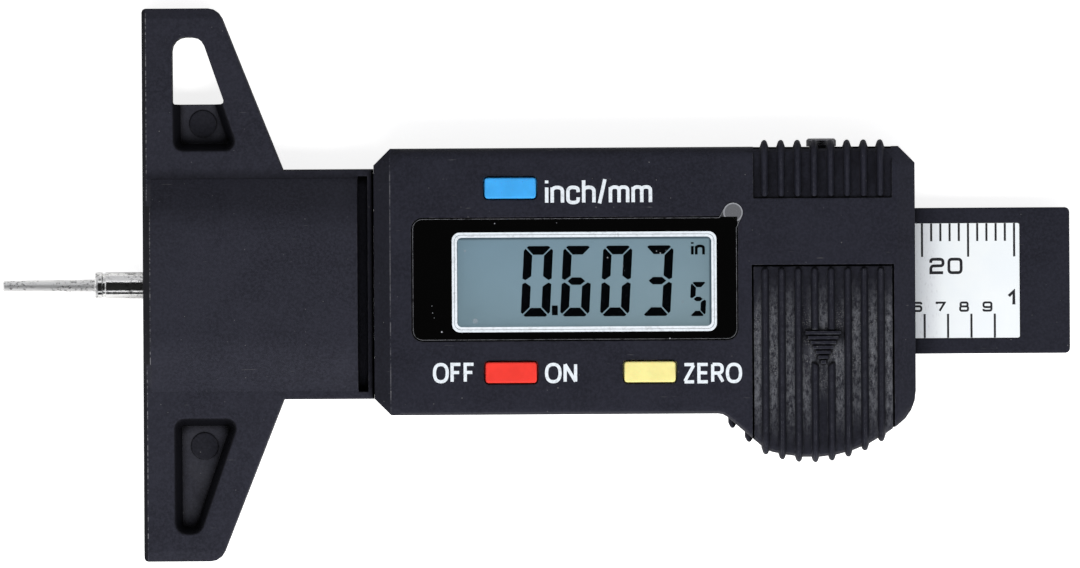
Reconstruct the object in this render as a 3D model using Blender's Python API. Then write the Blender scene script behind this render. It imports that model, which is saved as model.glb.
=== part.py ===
"""Digital depth caliper with a T-shaped base, a sliding bar and a needle probe.

The gauge lies on its back. The display faces +Z, the probe points to -X and the
lanyard hole is on the +Y side. Lengths are in metres. Every piece is laid out from
the measuring face (x = 0), the line of the probe (y = 0) and the back (z = 0), and
one empty then shifts the whole gauge so that its box is centred on the origin.
"""
import math

import bmesh
import bpy
from mathutils import Vector

# Slide bar with its scale
BAR_LENGTH = 0.0860
BAR_WIDTH = 0.01584
BAR_THICK = 0.0030
BAR_CORNER = 0.0005
BAR_EDGE = 0.0002
SCALE_MARGIN = 0.00174
SCALE_END_MARGIN = 0.0054
SCALE_START_MARGIN = 0.0090
SCALE_RECESS = 0.0005
STATOR_THICK = 0.00025
LABEL_THICK = 0.00012

# Reading shown, range and probe
READING = 0.0153
READING_LIMIT = 0.0254
END_PLAY = 0.0005
NEEDLE_LENGTH = 0.0100
NEEDLE_TIP_RADIUS = 0.0006
NEEDLE_ROOT_RADIUS = 0.00069
ROD_RADIUS = 0.001435
ROD_SEAT = 0.0060
ROD_GROOVE_PLACE = 0.0008
ROD_GROOVE_WIDTH = 0.0004
ROD_EDGE = 0.00015

# Guide channel
ARM_WIDTH = 0.00393
RUNNING_GAP = 0.00015
SEAT_GAP = 0.0001

# T-shaped base
BASE_SPAN = 0.0600
BASE_FLAT = 0.0083
WING_THICK = 0.0080
WING_EDGE = 0.00045
WING_TIP_RADIUS = 0.0016
WING_TIP_BEVEL = 0.0011
FACE_TIP_RADIUS = 0.0004
FACE_WALL = 0.0040
SLANT_FOOT = 0.01525
NECK_SIDE = 0.00047
NECK_END = 0.0233
NECK_RISE = 0.0030
NECK_CROWN_WIDTH = 0.0144
NECK_SHOULDER_RADIUS = 0.0055
NECK_LEDGE = 0.00027
NECK_EDGE = 0.0009
NECK_SLOT = 0.0011
NECK_SLOT_FLOOR = 0.0007
NECK_SLOT_MARGIN = 0.0005

# Openings and pockets of the wings
POCKET_INSET = 0.0031
POCKET_FROM_NECK = 0.0018
POCKET_WALL_INNER = 0.00370
POCKET_WALL_OUTER = 0.00308
POCKET_FLOOR = 0.0045
POCKET_DRAFT = 0.0006
POCKET_RIM = 0.00045
POCKET_RADIUS = 0.0013
POCKET_TIP_SHARE = 0.465
POCKET_END_MARGIN = 0.0027
LANYARD_INSET = 0.00326
LANYARD_FROM_NECK = 0.00713
LANYARD_END_MARGIN = 0.0031
LANYARD_RADIUS = 0.0003
PIN_MARK_X = 0.00656
PIN_MARK_SETBACK = 0.00323
PIN_MARK_RADIUS = 0.00145
PIN_MARK_HEIGHT = 0.00015

# Shell of the electronics housing
HOUSING_LEFT = 0.0251
HOUSING_LENGTH = 0.0586
HOUSING_WALL = 0.0013
UPPER_MARGIN = 0.00133
LOWER_MARGIN = 0.00095
FRONT_PLATE = 0.0017
FRONT_DROP = 0.0012
TOP_EDGE = 0.0013
BELLY_EDGE = 0.0006
LEFT_BEVEL = 0.0017
RIGHT_BEVEL = 0.0019
CORNER_BEVEL = 0.0012
CORNER_CUT = 0.0018
REAR_PLATE = 0.0016
REAR_EDGE = 0.0006
LOCATING_RIB = 0.0006
BELLY_SIDE = 0.00325
BELLY_SHOULDER_X = 0.00155
BELLY_SHOULDER_Y = 0.0041
BELLY_LEAN = 0.0017
BELLY_DEPTH = 0.0057
BELLY_RADIUS = 0.0140
BELLY_START_RADIUS = 0.0015
BELLY_SHOULDER_RADIUS = 0.0020
BELLY_CORNER_RADIUS = 0.0045

# Battery bay and its sliding cover
CELL_RADIUS = 0.0058
CELL_HEIGHT = 0.0054
CELL_CAP_RADIUS = 0.0035
CELL_CAP_HEIGHT = 0.0005
CELL_EDGE = 0.0003
CELL_SETBACK = 0.0024
CELL_FLOOR = 0.0005
CONTACT_THICK = 0.0002
CONTACT_WIDTH = 0.0026
BAY_SIDE = 0.0018
BAY_MARGIN = 0.0024
COVER_TOP = 0.00174
COVER_PLATE = 0.00095
COVER_SINK = 0.00025
SKIRT_WIDTH = 0.0009
RAIL_DEPTH = 0.00065
RAIL_REACH = 0.0007

# Display window
LENS_INSET = 0.00405
LENS_BAY_GAP = 0.00158
LENS_LOW = 0.00629
LENS_HIGH = 0.00712
LENS_CORNER = 0.0012
LENS_DEPTH = 0.0009
VIEW_INSET_LEFT = 0.00385
VIEW_INSET_RIGHT = 0.00182
VIEW_LOW = 0.0058
VIEW_HIGH = 0.0060
VIEW_CORNER = 0.0006
FILM_THICK = 0.0001
FILM_TAB_RADIUS = 0.00105
FILM_TAB_INSET = 0.00052
FILM_TAB_RISE = 0.0004
FILM_WEB_ALONG = 0.0021
FILM_WEB_DOWN = 0.0016

# Keys, placed along the window by their share of its length
BUTTON_LENGTH = 0.00557
BUTTON_WIDTH = 0.00227
BUTTON_CORNER = 0.0003
BUTTON_EDGE = 0.00018
BUTTON_PROUD = 0.00035
BUTTON_TRAVEL = 0.0003
BUTTON_FLANGE = 0.0005
MODE_SHARE = 0.304
ZERO_SHARE = 0.7286
MODE_BUTTON_GAP = 0.00317
POWER_BUTTON_GAP = 0.00338

# Circuit board and display
BOARD_THICK = 0.0010
BOARD_MARGIN = 0.0003
GLASS_THICK = 0.0018
GLASS_BORDER = 0.0004
HOLDER_WALL = 0.0010
CHIP_RADIUS = 0.0030
CHIP_HEIGHT = 0.0012
DOME_RADIUS = 0.0018
DOME_HEIGHT = 0.0004

# Grip ribs
RIB_PITCH = 0.00179
RIB_WIDTH = 0.00092
RIB_CREST = 0.00052
RIB_PROUD = 0.00072
COVER_RIB_PROUD = 0.00058
RIB_RISE = 0.0004
RIB_MARGIN = 0.0005
RIB_BEND = 0.0018
RIB_TIP = 0.0003
RIB_EDGE = 0.00016
GRIP_HEIGHT = 0.0056
SIDE_RIB_COUNT = 2
ARROW_TOP = 0.0052
ARROW_HALF = 0.0021
ARROW_SHOULDER = 0.0031
ARROW_BARS = 7
ARROW_SPACING = 0.00053
ARROW_GAP = 0.00017

# Fasteners and friction strip
SCREW_RADIUS = 0.0008
SCREW_HEAD_RADIUS = 0.0015
SCREW_HEAD_HEIGHT = 0.0009
SCREW_SINK = 0.0002
SCREW_LENGTH = 0.0078
SCREW_SLOT = 0.0004
SCREW_SLOT_REACH = 0.00098
BOSS_RADIUS = 0.0017
SCREW_NEAR_INSET = 0.0045
SCREW_FAR_INSET = 0.0031
SCREW_BAY_GAP = 0.0025
GIB_LENGTH = 0.0130
GIB_THICK = 0.0005
GIB_SCREW_HEAD_RADIUS = 0.00162
GIB_SCREW_PROUD = 0.0009
GIB_SLOT_REACH = 0.00113
STOP_PIN_SETBACK = 0.0254
STOP_PIN_RADIUS = 0.00075
STOP_PIN_DEPTH = 0.0008

# Places and heights that follow from the sizes above
BAR_LOW = REAR_PLATE + RUNNING_GAP
BAR_HIGH = BAR_LOW + BAR_THICK
BAR_MIDDLE = BAR_LOW + BAR_THICK / 2
BAR_START = FACE_WALL + END_PLAY + READING_LIMIT - READING
BAR_END = BAR_START + BAR_LENGTH
NEEDLE_ROOT = NEEDLE_LENGTH - READING
MIDDLE_X = (BAR_END - READING) / 2
STOP_PIN_X = BAR_START + STOP_PIN_SETBACK
SCALE_HALF_WIDTH = BAR_WIDTH / 2 - SCALE_MARGIN
CHANNEL_HALF = BAR_WIDTH / 2 + RUNNING_GAP
CHANNEL_TOP = BAR_HIGH + RUNNING_GAP
GUIDE_WALL = CHANNEL_HALF + ARM_WIDTH
BOARD_LOW = CHANNEL_TOP + SEAT_GAP
BOARD_HIGH = BOARD_LOW + BOARD_THICK
SHELL_LOW = REAR_PLATE + SEAT_GAP / 2
BAY_FLOOR = BOARD_LOW + CELL_FLOOR
CELL_LOW = BAY_FLOOR + CONTACT_THICK * 2
COVER_UNDER = CELL_LOW + CELL_HEIGHT + SEAT_GAP
COVER_FACE = COVER_UNDER + COVER_PLATE
COVER_FOOT = BAY_FLOOR + RUNNING_GAP
HOUSING_HEIGHT = COVER_FACE + COVER_SINK
PLATE_UNDER = HOUSING_HEIGHT - FRONT_PLATE
RAIL_LOW = PLATE_UNDER - RAIL_DEPTH - RUNNING_GAP * 2
RIB_FRONT = HOUSING_HEIGHT + RIB_RISE
RIB_DEPTH = RIB_FRONT - COVER_FACE + SEAT_GAP
RIB_FOOT = COVER_FOOT + RUNNING_GAP
LENS_SEAT = HOUSING_HEIGHT - LENS_DEPTH
HOUSING_RIGHT = HOUSING_LEFT + HOUSING_LENGTH
HOUSING_TOP = GUIDE_WALL + UPPER_MARGIN + HOUSING_WALL
HOUSING_BOTTOM = GUIDE_WALL + LOWER_MARGIN + HOUSING_WALL
COVER_WIDTH = 2 * (CELL_RADIUS + BAY_SIDE)
COVER_RIGHT = HOUSING_RIGHT - BAY_MARGIN
COVER_LEFT = COVER_RIGHT - COVER_WIDTH
COVER_MIDDLE = COVER_RIGHT - COVER_WIDTH / 2
CELL_Y = CELL_RADIUS + CELL_SETBACK
GRIP_LOW = HOUSING_TOP - GRIP_HEIGHT
RIB_COUNT = int((COVER_WIDTH - RIB_WIDTH - 2 * RIB_MARGIN) / RIB_PITCH) + 1
LENS_LEFT = HOUSING_LEFT + LENS_INSET
LENS_RIGHT = COVER_LEFT - LENS_BAY_GAP
VIEW_LEFT = LENS_LEFT + VIEW_INSET_LEFT
VIEW_RIGHT = LENS_RIGHT - VIEW_INSET_RIGHT
VIEW_MIDDLE = (VIEW_LEFT + VIEW_RIGHT) / 2
MODE_BUTTON_X = LENS_LEFT + (LENS_RIGHT - LENS_LEFT) * MODE_SHARE
ZERO_BUTTON_X = LENS_LEFT + (LENS_RIGHT - LENS_LEFT) * ZERO_SHARE
MODE_BUTTON_Y = LENS_HIGH + MODE_BUTTON_GAP
POWER_BUTTON_Y = LENS_LOW + POWER_BUTTON_GAP
NECK_HALF = GUIDE_WALL + NECK_SIDE
NECK_HEIGHT = WING_THICK + NECK_RISE
POCKET_START = NECK_HALF + POCKET_FROM_NECK
POCKET_END = BASE_SPAN / 2 - POCKET_END_MARGIN
LANYARD_START = NECK_HALF + LANYARD_FROM_NECK
LANYARD_END = BASE_SPAN / 2 - LANYARD_END_MARGIN
SCREW_ROW = CHANNEL_HALF + ARM_WIDTH / 2
SCREW_SHOULDER = SCREW_SINK + SCREW_HEAD_HEIGHT
SCREW_TIP = SCREW_SHOULDER + SCREW_LENGTH
GIB_OUTER = BAR_WIDTH / 2 + SEAT_GAP + GIB_THICK

# How finely the curves are divided
FACET_SAG = 0.00003
FULL_RING = 24
HOLE_RING = 12
PIN_RING = 16
CELL_RING = 32
CROWN_STEPS = 3
SHARP_ANGLE = 35

SCREWS = ((HOUSING_LEFT + SCREW_NEAR_INSET, SCREW_ROW),
          (HOUSING_LEFT + SCREW_NEAR_INSET, -SCREW_ROW),
          (HOUSING_RIGHT - SCREW_FAR_INSET, SCREW_ROW),
          (COVER_LEFT - SCREW_BAY_GAP, -SCREW_ROW))
BUTTONS = (("mode", MODE_BUTTON_X, MODE_BUTTON_Y, "button_blue"),
           ("power", MODE_BUTTON_X, -POWER_BUTTON_Y, "button_red"),
           ("zero", ZERO_BUTTON_X, -POWER_BUTTON_Y, "button_yellow"))

# Colour, roughness and metallic value of each material
FINISHES = {
    "black_plastic": ((0.035, 0.036, 0.050, 1), 0.42, 0.0),
    "cover_plastic": ((0.028, 0.029, 0.036, 1), 0.48, 0.0),
    "bar_plastic": ((0.025, 0.025, 0.030, 1), 0.40, 0.0),
    "chrome_steel": ((0.80, 0.79, 0.76, 1), 0.18, 1.0),
    "black_screw": ((0.03, 0.03, 0.035, 1), 0.30, 0.8),
    "button_blue": ((0.05, 0.35, 0.85, 1), 0.35, 0.0),
    "button_red": ((0.85, 0.06, 0.04, 1), 0.35, 0.0),
    "button_yellow": ((0.92, 0.72, 0.16, 1), 0.35, 0.0),
    "window": ((0.010, 0.010, 0.012, 1), 0.08, 0.0),
    "film": ((0.55, 0.56, 0.60, 1), 0.10, 0.0),
    "display": ((0.20, 0.29, 0.32, 1), 0.15, 0.0),
    "holder": ((0.75, 0.75, 0.73, 1), 0.50, 0.0),
    "rubber": ((0.45, 0.45, 0.44, 1), 0.70, 0.0),
    "board_green": ((0.03, 0.22, 0.07, 1), 0.45, 0.0),
    "epoxy": ((0.010, 0.010, 0.010, 1), 0.35, 0.0),
    "cell_steel": ((0.72, 0.72, 0.70, 1), 0.22, 1.0),
    "contact_nickel": ((0.70, 0.68, 0.62, 1), 0.30, 1.0),
    "brass": ((0.80, 0.58, 0.25, 1), 0.28, 1.0),
    "stator": ((0.60, 0.38, 0.12, 1), 0.35, 0.6),
    "scale_white": ((0.86, 0.87, 0.89, 1), 0.35, 0.0),
}


def corner(x, y, radius=0.0):
    """A corner of an outline, with its rounding and the turn of one facet there."""
    step = math.pi
    if radius > 0:
        step = 2 * math.acos(max(1 - FACET_SAG / radius, 0.5))
    return (x, y, radius, step)


def offset(corners, distances):
    """Move each edge of a counter-clockwise outline inwards by its own distance."""
    count = len(corners)
    if not hasattr(distances, "__len__"):
        distances = [distances] * count
    lines = []
    for index in range(count):
        here = Vector(corners[index][:2])
        along = (Vector(corners[(index + 1) % count][:2]) - here).normalized()
        inward = Vector((-along.y, along.x))
        lines.append((here + inward * distances[index], along))
    moved = []
    for index in range(count):
        (p, d), (q, e) = lines[index - 1], lines[index]
        cross = d.x * e.y - d.y * e.x
        reach = ((q.x - p.x) * e.y - (q.y - p.y) * e.x) / cross
        radius, step = corners[index][2:]
        pair = (distances[index - 1], distances[index])
        if radius > 0:
            radius = max(radius - max(pair), radius * 0.2) if cross > 0 else radius + min(pair)
        moved.append((p.x + d.x * reach, p.y + d.y * reach, radius, step))
    return moved


def rounded(corners):
    """The points of an outline, with an arc at each rounded corner."""
    points = []
    count = len(corners)
    for index in range(count):
        x, y, radius, step = corners[index]
        here = Vector((x, y))
        before = (here - Vector(corners[index - 1][:2])).normalized()
        after = (Vector(corners[(index + 1) % count][:2]) - here).normalized()
        turn = math.atan2(before.x * after.y - before.y * after.x, before.dot(after))
        if radius <= 0:
            points.append((x, y))
            continue
        start = here - before * radius * math.tan(abs(turn) / 2)
        side = 1 if turn > 0 else -1
        centre = start + Vector((-before.y, before.x)) * radius * side
        facets = max(2, round(abs(turn) / step + 0.3))
        for facet in range(facets + 1):
            angle = turn * facet / facets
            spoke = start - centre
            points.append((centre.x + spoke.x * math.cos(angle) - spoke.y * math.sin(angle),
                           centre.y + spoke.x * math.sin(angle) + spoke.y * math.cos(angle)))
    return points


def box_corners(left, right, low, high, radius=0.0):
    """A rectangle as a counter-clockwise outline."""
    return [corner(left, low, radius), corner(right, low, radius),
            corner(right, high, radius), corner(left, high, radius)]


def loft(name, rings):
    """One closed solid through rings of equally many points."""
    mesh = bpy.data.meshes.new(name)
    shape = bmesh.new()
    loops = [[shape.verts.new(point) for point in ring] for ring in rings]
    for lower, upper in zip(loops, loops[1:]):
        for index in range(len(lower)):
            after = (index + 1) % len(lower)
            shape.faces.new((lower[index], lower[after], upper[after], upper[index]))
    shape.faces.new(list(reversed(loops[0])))
    shape.faces.new(loops[-1])
    bmesh.ops.recalc_face_normals(shape, faces=shape.faces)
    shape.to_mesh(mesh)
    shape.free()
    piece = bpy.data.objects.new(name, mesh)
    bpy.context.scene.collection.objects.link(piece)
    return piece


def prism(name, corners, low, high):
    """An outline extruded from one height to another."""
    points = rounded(corners)
    return loft(name, [[(x, y, z) for x, y in points] for z in (low, high)])


def block(name, left, right, low, high, bottom, top):
    """A plain box."""
    return prism(name, box_corners(left, right, low, high), bottom, top)


def turned(name, profile, axis="Z", sides=FULL_RING, place=(0, 0, 0)):
    """A solid of revolution through (radius, distance along the axis) points."""
    rings = []
    for radius, along in profile:
        ring = []
        for side in range(sides):
            angle = 2 * math.pi * side / sides
            u, v = radius * math.cos(angle), radius * math.sin(angle)
            point = {"X": (along, u, v), "Y": (v, along, u), "Z": (u, v, along)}[axis]
            ring.append(tuple(a + b for a, b in zip(point, place)))
        rings.append(ring)
    return loft(name, rings)


def crowned(name, corners, low, high, edges, drop):
    """An extrusion whose upper edge is rounded or bevelled, with a width for each side.

    edges holds (width, is_bevel) for the edge that starts at each corner. The crown is
    turned upside down where high lies below low.
    """
    down = math.copysign(drop, high - low)
    rings = [[(x, y, low) for x, y in rounded(corners)]]
    for step in range(CROWN_STEPS + 1):
        angle = math.pi / 2 * step / CROWN_STEPS
        fall = 1 - math.sin(angle)
        widths = [width * (1 - fall if bevel else 1 - math.cos(angle))
                  for width, bevel in edges]
        points = rounded(offset(corners, widths))
        rings.append([(x, y, high - down * fall) for x, y in points])
    return loft(name, rings)


def combine(piece, other, operation):
    """Boolean of two solids; the second one is hidden and left out of the model."""
    modifier = piece.modifiers.new(other.name, "BOOLEAN")
    modifier.operation = operation
    modifier.object = other
    modifier.solver = "EXACT"
    other.hide_render = True
    other.display_type = "WIRE"
    other.parent = piece
    return piece


def cut(piece, *others):
    for other in others:
        combine(piece, other, "DIFFERENCE")
    return piece


def fuse(piece, *others):
    for other in others:
        combine(piece, other, "UNION")
    return piece


def keep(piece, other):
    return combine(piece, other, "INTERSECT")


def material(name):
    """The named finish as a Principled material, made once."""
    existing = bpy.data.materials.get(name)
    if existing:
        return existing
    colour, roughness, metallic = FINISHES[name]
    made = bpy.data.materials.new(name)
    made.use_nodes = True
    shader = made.node_tree.nodes["Principled BSDF"]
    shader.inputs["Base Color"].default_value = colour
    shader.inputs["Roughness"].default_value = roughness
    shader.inputs["Metallic"].default_value = metallic
    made.diffuse_color = colour
    return made


def finish(piece, finish_name, carrier, origin=(0, 0, 0)):
    """Give a piece its material, its own origin and the empty that carries it."""
    piece.data.materials.append(material(finish_name))
    shift = Vector(origin)
    for member in [piece] + list(piece.children_recursive):
        for vertex in member.data.vertices:
            vertex.co -= shift
    seat = carrier.location if carrier.parent else Vector()
    piece.location = shift - seat
    piece.parent = carrier
    piece.data.shade_smooth()
    piece.data.set_sharp_from_angle(angle=math.radians(SHARP_ANGLE))
    return piece


def empty(name, location, parent=None):
    made = bpy.data.objects.new(name, None)
    made.empty_display_size = BAR_THICK
    made.location = location
    made.parent = parent
    bpy.context.scene.collection.objects.link(made)
    return made


def base_outline():
    """The T: two wings on the measuring face and the neck that runs to the housing."""
    half, neck = BASE_SPAN / 2, NECK_HALF
    end = HOUSING_LEFT - SEAT_GAP
    lower = [corner(0, -half, FACE_TIP_RADIUS), corner(BASE_FLAT, -half, WING_TIP_RADIUS),
             corner(SLANT_FOOT, -neck), corner(end, -neck)]
    return lower + [corner(x, -y, radius) for x, y, radius, _ in reversed(lower)]


def pocket_outline(inset, start, end, radius):
    """A wing pocket beside the measuring face, narrowing away from the probe."""
    tip = (slant_at(end) - inset) * POCKET_TIP_SHARE
    return [corner(inset, start, radius), corner(slant_at(start), start, radius),
            corner(slant_at(end), end, tip), corner(inset, end, tip)]


def slant_at(distance):
    """Sloping side of the wing pockets at a distance from the probe."""
    run = (SLANT_FOOT - BASE_FLAT) / (BASE_SPAN / 2 - NECK_HALF)
    along = (distance - POCKET_START) / (LANYARD_END - POCKET_START)
    wall = POCKET_WALL_INNER + (POCKET_WALL_OUTER - POCKET_WALL_INNER) * along
    return SLANT_FOOT - run * (distance - NECK_HALF) - wall


def drafted_pocket(name, corners, floor):
    """A pocket cutter whose walls lean in towards its floor and whose rim is rounded."""
    levels = [(floor, POCKET_RIM + POCKET_DRAFT)]
    for step in range(CROWN_STEPS + 1):
        angle = math.pi / 2 * step / CROWN_STEPS
        levels.append((WING_THICK - POCKET_RIM * (1 - math.sin(angle)),
                       POCKET_RIM * math.cos(angle)))
    levels.append((NECK_HEIGHT, 0))
    return loft(name, [[(x, y, z) for x, y in rounded(offset(corners, inset))]
                       for z, inset in levels])


def mirrored(corners):
    """The same outline on the other side of the probe, still counter-clockwise."""
    return [corner(x, -y, radius) for x, y, radius, _ in reversed(corners)]


def crown_profile(lower):
    """Cross-section of the raised neck, as (y, z) corners."""
    half = NECK_HALF - NECK_LEDGE
    crown = NECK_CROWN_WIDTH / 2
    foot = WING_THICK - WING_EDGE - lower
    top = NECK_HEIGHT - lower
    return [corner(-half, REAR_PLATE), corner(half, REAR_PLATE), corner(half, foot),
            corner(crown, top, NECK_SHOULDER_RADIUS),
            corner(-crown, top, NECK_SHOULDER_RADIUS), corner(-half, foot)]


def t_base(carrier):
    """Wings, raised neck and the two guide arms that reach through the housing."""
    soft, tip = (WING_EDGE / 2, False), (WING_TIP_BEVEL, True)
    edges = [tip] + [soft] * 5 + [tip, (WING_EDGE, True)]
    base = crowned("t_base", base_outline(), 0, WING_THICK, edges, WING_EDGE)
    stations = ((WING_EDGE / 4, NECK_EDGE), (NECK_EDGE, 0), (NECK_END, 0))
    rings = [[(x, y, z) for y, z in rounded(crown_profile(lower))] for x, lower in stations]
    fuse(base, loft("t_base.crown", rings))

    inner = CHANNEL_HALF + RUNNING_GAP / 5
    arm_start = HOUSING_LEFT - FACE_WALL / 4
    arm_end = HOUSING_RIGHT - HOUSING_WALL - SEAT_GAP * 3
    for side in (-1, 1):
        low, high = sorted((side * inner, side * GUIDE_WALL))
        fuse(base, block(f"t_base.arm_{side}", arm_start, arm_end, low, high,
                         REAR_PLATE + SEAT_GAP, CHANNEL_TOP))

    channel_end = HOUSING_LEFT + RUNNING_GAP
    cut(base, block("t_base.channel", FACE_WALL, channel_end, -CHANNEL_HALF, CHANNEL_HALF,
                    BAR_LOW - RUNNING_GAP, CHANNEL_TOP))
    bore = ROD_RADIUS + RUNNING_GAP
    cut(base, turned("t_base.probe_bore", ((bore, -bore), (bore, FACE_WALL + bore)),
                     "X", place=(0, 0, BAR_MIDDLE)))

    slot_half = NECK_HALF - NECK_LEDGE - NECK_SLOT_MARGIN
    cut(base, block("t_base.neck_slot", NECK_END + RUNNING_GAP / 3, NECK_END + NECK_SLOT,
                    -slot_half, slot_half, CHANNEL_TOP + NECK_SLOT_FLOOR, NECK_HEIGHT))

    hole = pocket_outline(LANYARD_INSET, LANYARD_START, LANYARD_END, LANYARD_RADIUS)
    pockets = pocket_outline(POCKET_INSET, POCKET_START, POCKET_END, POCKET_RADIUS)
    upper = drafted_pocket("t_base.upper_pocket", pockets, POCKET_FLOOR)
    keep(upper, block("t_base.upper_pocket_part", 0, SLANT_FOOT, POCKET_START - SEAT_GAP,
                      LANYARD_START + SEAT_GAP, 0, NECK_HEIGHT * 2))
    cut(base, upper)
    cut(base, prism("t_base.lanyard_hole", hole, -WING_THICK, WING_THICK * 2))
    cut(base, drafted_pocket("t_base.lower_pocket", mirrored(pockets), POCKET_FLOOR))
    for side in (-1, 1):
        place = (PIN_MARK_X, side * (POCKET_START + PIN_MARK_SETBACK), POCKET_FLOOR)
        fuse(base, turned(f"t_base.pin_mark_{side}",
                          ((PIN_MARK_RADIUS, -POCKET_FLOOR / 2),
                           (PIN_MARK_RADIUS, PIN_MARK_HEIGHT)), place=place))

    gib_half = GIB_LENGTH / 2 + SEAT_GAP * 2
    cut(base, block("t_base.gib_seat", COVER_MIDDLE - gib_half, COVER_MIDDLE + gib_half,
                    CHANNEL_HALF - GIB_THICK, GIB_OUTER + SEAT_GAP,
                    0, CHANNEL_TOP + GIB_THICK))
    cut(base, turned("t_base.gib_screw_hole",
                     ((SCREW_RADIUS + RUNNING_GAP, BAR_WIDTH / 2),
                      (SCREW_RADIUS + RUNNING_GAP, HOUSING_TOP)),
                     "Y", sides=HOLE_RING, place=(COVER_MIDDLE, 0, BAR_MIDDLE)))
    hole_radius = SCREW_RADIUS + RUNNING_GAP
    for number, (x, y) in enumerate(SCREWS):
        cut(base, turned(f"t_base.screw_hole_{number}",
                         ((hole_radius, 0), (hole_radius, HOUSING_HEIGHT)),
                         sides=HOLE_RING, place=(x, y, 0)))
    return finish(base, "black_plastic", carrier)


def housing_outline():
    """Front view of the housing: cut corners and the round belly over the battery."""
    left, right, top, low = HOUSING_LEFT, HOUSING_RIGHT, HOUSING_TOP, -HOUSING_BOTTOM
    return [corner(left + CORNER_CUT, low),
            corner(COVER_LEFT - BELLY_SIDE, low, BELLY_START_RADIUS),
            corner(COVER_LEFT + BELLY_SHOULDER_X, low - BELLY_SHOULDER_Y,
                   BELLY_SHOULDER_RADIUS),
            corner(COVER_MIDDLE + BELLY_LEAN, low - BELLY_DEPTH, BELLY_RADIUS),
            corner(right, low, BELLY_CORNER_RADIUS),
            corner(right, top - CORNER_CUT), corner(right - CORNER_CUT, top),
            corner(left + CORNER_CUT, top), corner(left, top - CORNER_CUT),
            corner(left, low + CORNER_CUT)]


def housing_edges():
    """Width of the front edge's rounding or bevel, for each side of the outline."""
    soft, top = (BELLY_EDGE, False), (TOP_EDGE, False)
    left, right = (LEFT_BEVEL, True), (RIGHT_BEVEL, True)
    return [soft] * 4 + [right, left, top, left, left, (CORNER_BEVEL, True)]


def belly_at(x):
    """Height of the outline's lower edge at a place along the housing."""
    points = rounded(housing_outline())
    crossings = []
    for (ax, ay), (bx, by) in zip(points, points[1:] + points[:1]):
        if min(ax, bx) <= x <= max(ax, bx) and ax != bx:
            crossings.append(ay + (by - ay) * (x - ax) / (bx - ax))
    return min(crossings)


def envelope(name, low, high):
    return crowned(name, housing_outline(), low, high, housing_edges(), FRONT_DROP)


def rib(name, x, side_view):
    """A grip rib with leaning flanks and soft edges along its crest.

    side_view gives the rib's (y, z) corners for a depth below its crest.
    """
    foot, crest, soft = RIB_WIDTH / 2, RIB_CREST / 2, RIB_EDGE
    half = ((foot, RIB_DEPTH), (crest, soft), (crest - soft, 0))
    sections = [(-along, depth) for along, depth in half] + list(reversed(half))
    return loft(name, [[(x + along, y, z) for y, z in rounded(side_view(depth))]
                       for along, depth in sections])


def wrapped_rib(name, x, inner, edge, proud):
    """A rib that lies on the front face and turns down over the edge."""
    outward = 1 if edge > inner else -1
    face = COVER_FACE - COVER_PLATE / 2
    wall = edge - outward * HOUSING_WALL / 2
    facet = corner(0, 0, RIB_BEND)[-1]

    def side_view(depth):
        tip = edge + outward * (proud - depth)
        low, front = RIB_FOOT + depth / 2, RIB_FRONT - depth
        start = inner + outward * depth / 2
        corners = [corner(tip, low, RIB_TIP), corner(wall, low), corner(wall, face),
                   corner(start, face), corner(start, front, RIB_TIP),
                   (tip, front, RIB_BEND - depth, facet)]
        return corners if outward < 0 else corners[::-1]

    return rib(name, x, side_view)


def side_rib(name, x):
    """A short rib below the belly's shoulder, on the side wall alone."""
    edge, reach = belly_at(x), HOUSING_WALL / 2

    def side_view(depth):
        tip = edge - RIB_PROUD + min(depth, RIB_PROUD - RIB_EDGE)
        low, high = RIB_FOOT + depth / 2, RAIL_LOW - reach - depth / 2
        return [corner(tip, low, RIB_TIP), corner(edge + reach, low),
                corner(edge + reach, high), corner(tip, high, RIB_TIP)]

    return rib(name, x, side_view)


def rib_places():
    return [COVER_MIDDLE + (number - (RIB_COUNT - 1) / 2) * RIB_PITCH
            for number in range(RIB_COUNT)]


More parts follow.
